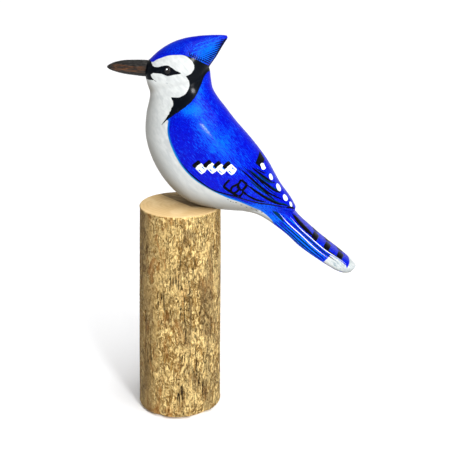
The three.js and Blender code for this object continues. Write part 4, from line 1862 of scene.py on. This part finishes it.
    def _hatching(self) -> tuple[Stroke, ...]:
        """Draws dark hatching up from the crest's hind edge and from the black at the nape.

        Returns:
            The strokes, with the edge's own line first.
        """
        strokes = [Stroke(((31.8, 111.2), (27.4, 104.6), (21.6, 96)), 0.9, Taper.BLUNT)]
        for step in range(self.hatch_rows):
            share = step / (self.hatch_rows - 1)
            x, z = between(*self.hatch_edge, share)
            reach = self.hatch_reach[0] + self.hatch_reach[1] * share
            reach += self.hatch_spread * math.sin(self.hatch_beat * step)
            rise = reach * (self.hatch_slope[0] + self.hatch_slope[1] * share)
            line = ((x, z), (x - reach * 0.5, z + rise * 0.6), (x - reach, z + rise))
            strokes.append(Stroke(line, 1.0, Taper.TRAILING))
        for step in range(self.nape_rows):
            x, z = between(*self.nape_edge, step / (self.nape_rows - 1))
            line = ((x, z), (x - 1.0, z + 1.8), (x - 1.4, z + 3.8))
            strokes.append(Stroke(line, 0.9, Taper.TRAILING))
        return tuple(strokes)

    def _glints(self) -> tuple[Stroke, ...]:
        """Draws light blue strokes that sweep up the crest.

        Returns:
            The strokes, row by row.
        """
        strokes = []
        for row in range(self.glint_rows):
            for place in range(self.glints_in_row):
                x = self.glint_start[0] + self.glint_step[0] * place + self.glint_row[0] * row
                z = self.glint_start[1] + self.glint_step[1] * place + self.glint_row[1] * row
                line = ((x, z), (x + 2.4, z + 1.2), (x + 5.2, z + 2.0))
                strokes.append(Stroke(line, self.glint_width, Taper.TRAILING))
        return tuple(strokes)

    def _tail_glints(self) -> tuple[Stroke, ...]:
        """Draws light blue strokes along the tail's side face.

        Returns:
            A stroke for each row of run, height and length.
        """
        return tuple(
            Stroke(((run, lift), (run + reach / 2, lift), (run + reach, lift)), 0.8, Taper.POINTED,
                   Ground.EDGE)
            for run, lift, reach in self.tail_glint_rows
        )

    @staticmethod
    def _crest_edge() -> tuple[Stroke, ...]:
        """The black line down the crest's hind edge."""
        return (Stroke(((31.5, 111.9), (28.5, 107.5), (24.7, 101.1), (19.7, 94.0)), 1.8, Taper.BLUNT),)

    @staticmethod
    def _far_edge() -> tuple[Stroke, ...]:
        """The black line along the far side of the tail's top."""
        line = ((60, -6.4), (78, -8.2), (98, -8.6), (115, -7.4))
        return (Stroke(line, 4.6, Taper.POINTED, Ground.TAIL),)

    def _flecks(self) -> tuple[Stroke, ...]:
        """Draws specks of dark paint on the white beside the wing's lower edge.

        Returns:
            The specks, of uneven size and height.
        """
        strokes = []
        drift, drift_beat = self.fleck_drift
        middle, spread, size_beat = self.fleck_size
        for step in range(self.fleck_count):
            x, z = between(*self.fleck_edge, step / (self.fleck_count - 1))
            z += drift * math.sin(drift_beat * step)
            size = middle + spread * math.sin(size_beat * step)
            strokes.append(Stroke(((x, z), (x + size, z - size * 0.4)), self.fleck_width))
        return tuple(strokes)

    @staticmethod
    def _specks() -> tuple[Stroke, ...]:
        """Two faint grey touches on the cheek."""
        return (
            Stroke(((-6.8, 87.6), (-6, 87.2)), 0.9, Taper.OVAL),
            Stroke(((-7.2, 85.4), (-5.6, 85.3)), 0.8, Taper.OVAL),
        )


@dataclass
class Bill:
    """The two halves of the bill, parted by the line of the mouth."""

    rings_per_span: int = 14
    half_sides: int = 24
    mouth_gap: float = 0.16
    fullness: float = 0.9
    inner_share: float = 0.985
    stations: tuple[Station, ...] = (
        Station((-45.6, 94), (-45.6, 93), 0.5),
        Station((-44, 95.1), (-44, 91.8), 1.4),
        Station((-40.4, 96.6), (-40.4, 90.4), 2.5),
        Station((-35, 97.7), (-35, 89), 3.5),
        Station((-28, 98), (-28, 88), 4.3),
        Station((-20, 97.8), (-20, 87.2), 5),
        Station((-15, 97), (-15, 87.6), 4.8),
    )

    def build(self) -> list[bpy.types.Object]:
        """Makes both halves.

        Returns:
            The upper and the lower half.
        """
        return [
            self._half("bill_top", 1, "bill_upper"),
            self._half("bill_under", -1, "bill_lower"),
        ]

    def _half(self, name: str, sign: int, node: str) -> bpy.types.Object:
        """Makes one half: an arch over the mouth's plane, closed along it.

        Args:
            name: The piece's name.
            sign: 1 for the upper half and -1 for the lower.
            node: The CAD node that it replaces.

        Returns:
            The piece.
        """
        tops = smooth_run([s.top for s in self.stations], self.rings_per_span)
        bottoms = smooth_run([s.bottom for s in self.stations], self.rings_per_span)
        wide = smooth_run([(s.wide,) for s in self.stations], self.rings_per_span, 0.0)[:, 0]
        middle = (tops + bottoms) / 2
        half = (tops[:, 1] - bottoms[:, 1]) / 2 - self.mouth_gap / 2
        turn = np.linspace(0.0, math.pi, self.half_sides)
        flat = np.linspace(-1.0, 1.0, self.half_sides // 2)[1:-1]
        across = np.concatenate([np.cos(turn), flat * self.inner_share])
        rise = np.concatenate([np.sin(turn) ** self.fullness, np.zeros(len(flat))])
        x = np.repeat(tops[:, :1], len(across), axis=1)
        y = wide[:, None] * across[None]
        z = middle[:, 1:] + sign * (self.mouth_gap / 2 + half[:, None] * rise[None])
        points = np.stack([x, sign * y, z], axis=-1).reshape(-1, 3)
        piece = build_mesh(name, perch(points), ring_faces(len(tops), len(across)))
        return settle(piece, BillPaint(), "bill_paint", node)


@dataclass
class Eye:
    """A shiny dome with its painted glint."""

    side: int
    centre: Pair = (-5.5, 93.2)
    radius: float = 2.75
    set_in: float = 11.9
    flat: float = 0.9
    sides: int = 40
    glint: Pair = (-0.7, 1.1)
    glint_radius: float = 0.55
    glint_flat: float = 0.35
    glint_sides: int = 14

    def build(self, node: str) -> list[bpy.types.Object]:
        """Makes the dome and the glint.

        Args:
            node: The CAD node that the dome stands for.

        Returns:
            The pieces.
        """
        word = "left" if self.side < 0 else "right"
        dome = self._lens((0.0, 0.0), self.set_in, self.radius, self.flat, self.sides)
        reach = math.hypot(*self.glint) / self.radius
        surface = self.set_in + self.radius * self.flat * math.sqrt(1 - reach**2)
        shine = self._lens(self.glint, surface, self.glint_radius, self.glint_flat, self.glint_sides)
        return [
            settle(build_mesh(f"eye_dome_{word}", *dome), EyeGloss(), "eye_gloss", node),
            settle(build_mesh(f"eye_glint_{word}", *shine), WHITE_DABS, "white_paint"),
        ]

    def _lens(
        self, shift: Pair, out: float, radius: float, flat: float, sides: int
    ) -> tuple[np.ndarray, Faces]:
        """Shapes a flattened ball beside the head.

        Args:
            shift: How far it is from the eye's centre, in the side view.
            out: How far its middle is from the bird's middle plane.
            radius: Its radius in the side view.
            flat: Its thickness against its width.
            sides: How many points go round it.

        Returns:
            Its points in metres and its faces.
        """
        rise = np.linspace(0.0, math.pi, sides // 2 + 1)[1:-1, None]
        turn = np.linspace(0.0, 2 * math.pi, sides, endpoint=False)[None]
        x = self.centre[0] + shift[0] + radius * np.sin(rise) * np.cos(turn)
        y = self.side * out - radius * flat * np.repeat(np.cos(rise), sides, axis=1)
        z = self.centre[1] + shift[1] + radius * np.sin(rise) * np.sin(turn)
        points = np.stack([x, y, z], axis=-1).reshape(-1, 3)
        return perch(points), ring_faces(len(rise), sides)


@dataclass(frozen=True)
class Chip:
    """A bite out of the log's foot: where it is round the log, and its size."""

    azimuth: float
    width: float
    height: float
    depth: float


@dataclass
class Log:
    """The peeled log: an uneven round, grooved and pitted by geometry nodes."""

    height: float = PERCH_HEIGHT
    top_radius: float = 28.0
    foot_radius: float = 29.9
    middle_radius: float = 29.0
    lean: float = PERCH_LEAN
    uneven: float = 0.3
    columns: int = 380
    rows: int = 190
    foot_rings: int = 13
    top_rings: int = 30
    pole: float = 0.05
    top_edge: float = 0.6
    foot_bevel: float = 2.0
    groove_depth: float = 1.3
    pit_depth: float = 0.9
    swell_depth: float = 0.6
    groove_grain: Grain = Grain((520.0, 520.0, 42.0), 5.0, 0.62, 1.1)
    groove_band: Pair = (0.5, 0.68)
    groove_least: float = 0.2
    pit_grain: Grain = Grain((900.0, 900.0, 330.0))
    pit_band: Pair = (0.6, 0.74)
    pit_least: float = 0.3
    swell_grain: Grain = Grain((60.0, 60.0, 16.0), 2.0, 0.5, 0.5)
    worn_band: Pair = (0.40, 0.62)
    foot_fade: float = 3.0
    top_fade: float = 2.0
    least_bark: float = 0.25
    chips: tuple[Chip, ...] = (Chip(-58.0, 17.0, 9.0, 2.6), Chip(-116.0, 8.0, 5.0, 1.6))

    def build(self) -> bpy.types.Object:
        """Makes the log and weathers its side.

        Returns:
            The piece.
        """
        points, faces, bark = self._round()
        body = build_mesh("peeled_log", points * MM, faces)
        store(body.data, "bark", bark)
        given = {
            "Groove Depth": self.groove_depth * MM,
            "Pit Depth": self.pit_depth * MM,
            "Swell Depth": self.swell_depth * MM,
            "Wood": PeeledLog().material(),
        }
        return settle(run_tree(body, self._tree(), given), PeeledLog(), "log", "post")

    def _round(self) -> tuple[np.ndarray, Faces, np.ndarray]:
        """Shapes the plain round, from the foot's middle up the side to the top's middle.

        Returns:
            Its points in millimetres, its faces, and how barked each point is.
        """
        side = slice(self.foot_rings, self.foot_rings + self.rows)
        climb = np.linspace(self.foot_bevel, self.height - self.top_edge, self.rows)
        foot, top = np.zeros(self.foot_rings), np.full(self.top_rings, self.height)
        heights = np.concatenate([foot, climb, top])
        share = heights / self.height
        radii = self.foot_radius + (self.top_radius - self.foot_radius) * share
        foot_shares = np.linspace(0.0, 1.0, self.foot_rings + 1)[:-1]
        radii[:side.start] = (self.foot_radius - self.foot_bevel) * foot_shares
        radii[side.stop:] = (self.top_radius - self.top_edge) * np.linspace(1.0, 0.0, self.top_rings)
        radii[[0, -1]] = self.pole
        turn = np.linspace(0.0, 2 * math.pi, self.columns, endpoint=False)[None]
        wander = np.sin(2 * turn + 3 * share[:, None]) * 0.6 + np.sin(3 * turn - 5 * share[:, None]) * 0.4
        reach = radii[:, None] * (1 + self.uneven / self.middle_radius * (wander - 1))
        x = self.lean * share[:, None] + reach * np.cos(turn)
        z = np.repeat(heights[:, None], self.columns, axis=1)
        points = np.stack([x, reach * np.sin(turn), z], axis=-1).reshape(-1, 3)
        bark = np.zeros(len(heights))
        edge = np.minimum(climb / self.foot_fade, (self.height - climb) / self.top_fade)
        bark[side] = np.clip(edge, self.least_bark, 1.0)
        faces = ring_faces(len(heights), self.columns)
        return self._knock(points), faces, np.repeat(bark, self.columns)

    def _knock(self, points: np.ndarray) -> np.ndarray:
        """Presses the chips into the foot.

        Args:
            points: The round's points in millimetres, which are changed.

        Returns:
            The same points.
        """
        turn = np.degrees(np.arctan2(points[:, 1], points[:, 0]))
        reach = np.hypot(points[:, 0], points[:, 1])
        for chip in self.chips:
            away = np.radians((turn - chip.azimuth + 180) % 360 - 180) * self.foot_radius
            across, up = away / (chip.width / 2), points[:, 2] / chip.height
            inside = np.clip(1 - across**2 - up**2, 0, None)
            pressed = np.minimum(reach, self.foot_radius - chip.depth * np.sqrt(inside))
            share = np.where((inside > 0) & (reach > 1), pressed / np.maximum(reach, 1), 1.0)
            points[:, :2] *= share[:, None]
            reach = reach * share
        return points

    def _tree(self) -> bpy.types.NodeTree:
        """The tree that sinks grooves and pits into the side, and stores how sunk each point is.

        Returns:
            The tree.
        """
        inputs = {
            "Round": "NodeSocketGeometry",
            "Groove Depth": "NodeSocketFloat",
            "Pit Depth": "NodeSocketFloat",
            "Swell Depth": "NodeSocketFloat",
            "Wood": "NodeSocketMaterial",
        }
        bench, given = open_tree("weathered_log", inputs, "Log")
        place = bench.node("GeometryNodeInputPosition", {}, {}, kind=Arrow)
        normal = bench.node("GeometryNodeInputNormal", {}, {}, kind=Arrow)
        kind = {"data_type": "FLOAT"}
        bark = bench.node("GeometryNodeInputNamedAttribute", kind, {"Name": "bark"})
        broad = bench.noise(place * self.swell_grain.cells, self.swell_grain)
        worn = broad.ramp(*self.worn_band)
        grooves = bench.noise(place * self.groove_grain.cells, self.groove_grain)
        pits = bench.noise(place * self.pit_grain.cells, self.pit_grain)
        sunk = grooves.ramp(*self.groove_band) * (self.groove_least + worn * (1.0 - self.groove_least))
        pitted = pits.ramp(*self.pit_band) * (self.pit_least + worn * (1.0 - self.pit_least))
        depth = sunk * given["Groove Depth"] + pitted * given["Pit Depth"]
        depth = depth + broad * given["Swell Depth"]
        marks = {"Geometry": given["Round"], "Name": "groove", "Value": (sunk + pitted) * bark}
        stored = bench.node("GeometryNodeStoreNamedAttribute", kind | {"domain": "POINT"}, marks)
        move = {"Geometry": stored, "Offset": normal.scaled(depth * bark * -1.0)}
        moved = bench.node("GeometryNodeSetPosition", {}, move)
        return close_tree(bench, "Log", moved, given["Wood"])


@dataclass(frozen=True)
class Softbox:
    """A square soft light that looks at the bird."""

    name: str
    place: Triple
    size: float
    power: float

    def hang(self, target: Triple) -> None:
        """Hangs the light.

        Args:
            target: What it looks at, in metres.
        """
        data = bpy.data.lights.new(self.name, "AREA")
        data.size = self.size
        data.energy = self.power
        lamp = bpy.data.objects.new(self.name, data)
        lamp.location = self.place
        aim = Vector(target) - Vector(self.place)
        lamp.rotation_euler = aim.to_track_quat("-Z", "Y").to_euler()
        bpy.context.scene.collection.objects.link(lamp)


@dataclass
class Studio:
    """Pale floor, soft lights and the camera at the picture's angle."""

    floor_half: float = 3.0
    lens: float = 76.0
    sensor: float = 36.0
    closest: float = 0.01
    camera_place: Triple = (0.0328, -0.6117, 0.3544)
    pitch: float = 70.26
    sky: float = 0.42
    horizon: float = 1.0
    horizon_height: float = 0.22
    sun_place: Triple = (0.55, -0.45, 1.2)
    sun_power: float = 2.6
    sun_spread: float = 65.0
    target: Triple = (0.02, 0.0, 0.2)
    softboxes: tuple[Softbox, ...] = (
        Softbox("key", (0.42, -0.85, 0.55), 0.16, 6.5),
        Softbox("top", (0.1, -0.75, 0.95), 0.12, 0.7),
    )

    def build(self) -> None:
        """Sets up the stage."""
        corners = np.array([(-1.0, -1.0, 0.0), (1.0, -1.0, 0.0), (1.0, 1.0, 0.0), (-1.0, 1.0, 0.0)])
        floor = build_mesh("studio_floor", corners * self.floor_half, [(0, 1, 2, 3)])
        floor.data.materials.append(StudioPaper().material())
        self._camera()
        self._sky()
        self._sun()
        for softbox in self.softboxes:
            softbox.hang(self.target)
        view = bpy.context.scene.view_settings
        view.view_transform = "Standard"
        view.look = "None"
        LOG.info("studio: floor, sky, sun and %d softboxes", len(self.softboxes))

    def _camera(self) -> None:
        """The camera, level across and tipped down."""
        data = bpy.data.cameras.new("camera")
        data.lens = self.lens
        data.sensor_width = self.sensor
        data.clip_start = self.closest
        camera = bpy.data.objects.new("camera", data)
        camera.location = self.camera_place
        camera.rotation_euler = (math.radians(self.pitch), 0.0, 0.0)
        bpy.context.scene.collection.objects.link(camera)
        bpy.context.scene.camera = camera

    def _sky(self) -> None:
        """Even white light from all round, brighter towards the horizon as on a lit cove."""
        world = bpy.data.worlds.new("studio")
        world.use_nodes = True
        world.node_tree.nodes.clear()
        bench = Bench(world.node_tree)
        aim = bench.node("ShaderNodeTexCoord", {}, {}, out="Generated", kind=Arrow)
        high = aim.axis("Z").ramp(0.0, self.horizon_height)
        strength = self.horizon + (self.sky - self.horizon) * high
        light = {"Color": rgba((1.0, 1.0, 1.0)), "Strength": strength}
        shade = bench.node("ShaderNodeBackground", {}, light)
        bench.add("ShaderNodeOutputWorld", {}, {"Surface": shade})
        bpy.context.scene.world = world

    def _sun(self) -> None:
        """A broad soft light from above, the same all over the floor."""
        data = bpy.data.lights.new("sun", "SUN")
        data.energy = self.sun_power
        data.angle = math.radians(self.sun_spread)
        lamp = bpy.data.objects.new("sun", data)
        lamp.rotation_euler = Vector(self.sun_place).to_track_quat("Z", "Y").to_euler()
        bpy.context.scene.collection.objects.link(lamp)


def write_sizes() -> None:
    """Brings the view layer up to date."""
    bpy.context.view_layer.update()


def main() -> None:
    """Builds the stage, the log and the bird, in that order."""
    logging.basicConfig(level=logging.INFO, format="%(message)s")
    Studio().build()
    Log().build()
    bird = BirdSkin()
    skin = bird.build()
    canvas = Canvas(skin, bird.tail)
    Markings().build(canvas)
    Bill().build()
    for side, node in ((-1, "eye_left"), (1, "eye_right")):
        Eye(side).build(node)
    write_sizes()


if __name__ == "__main__":
    main()
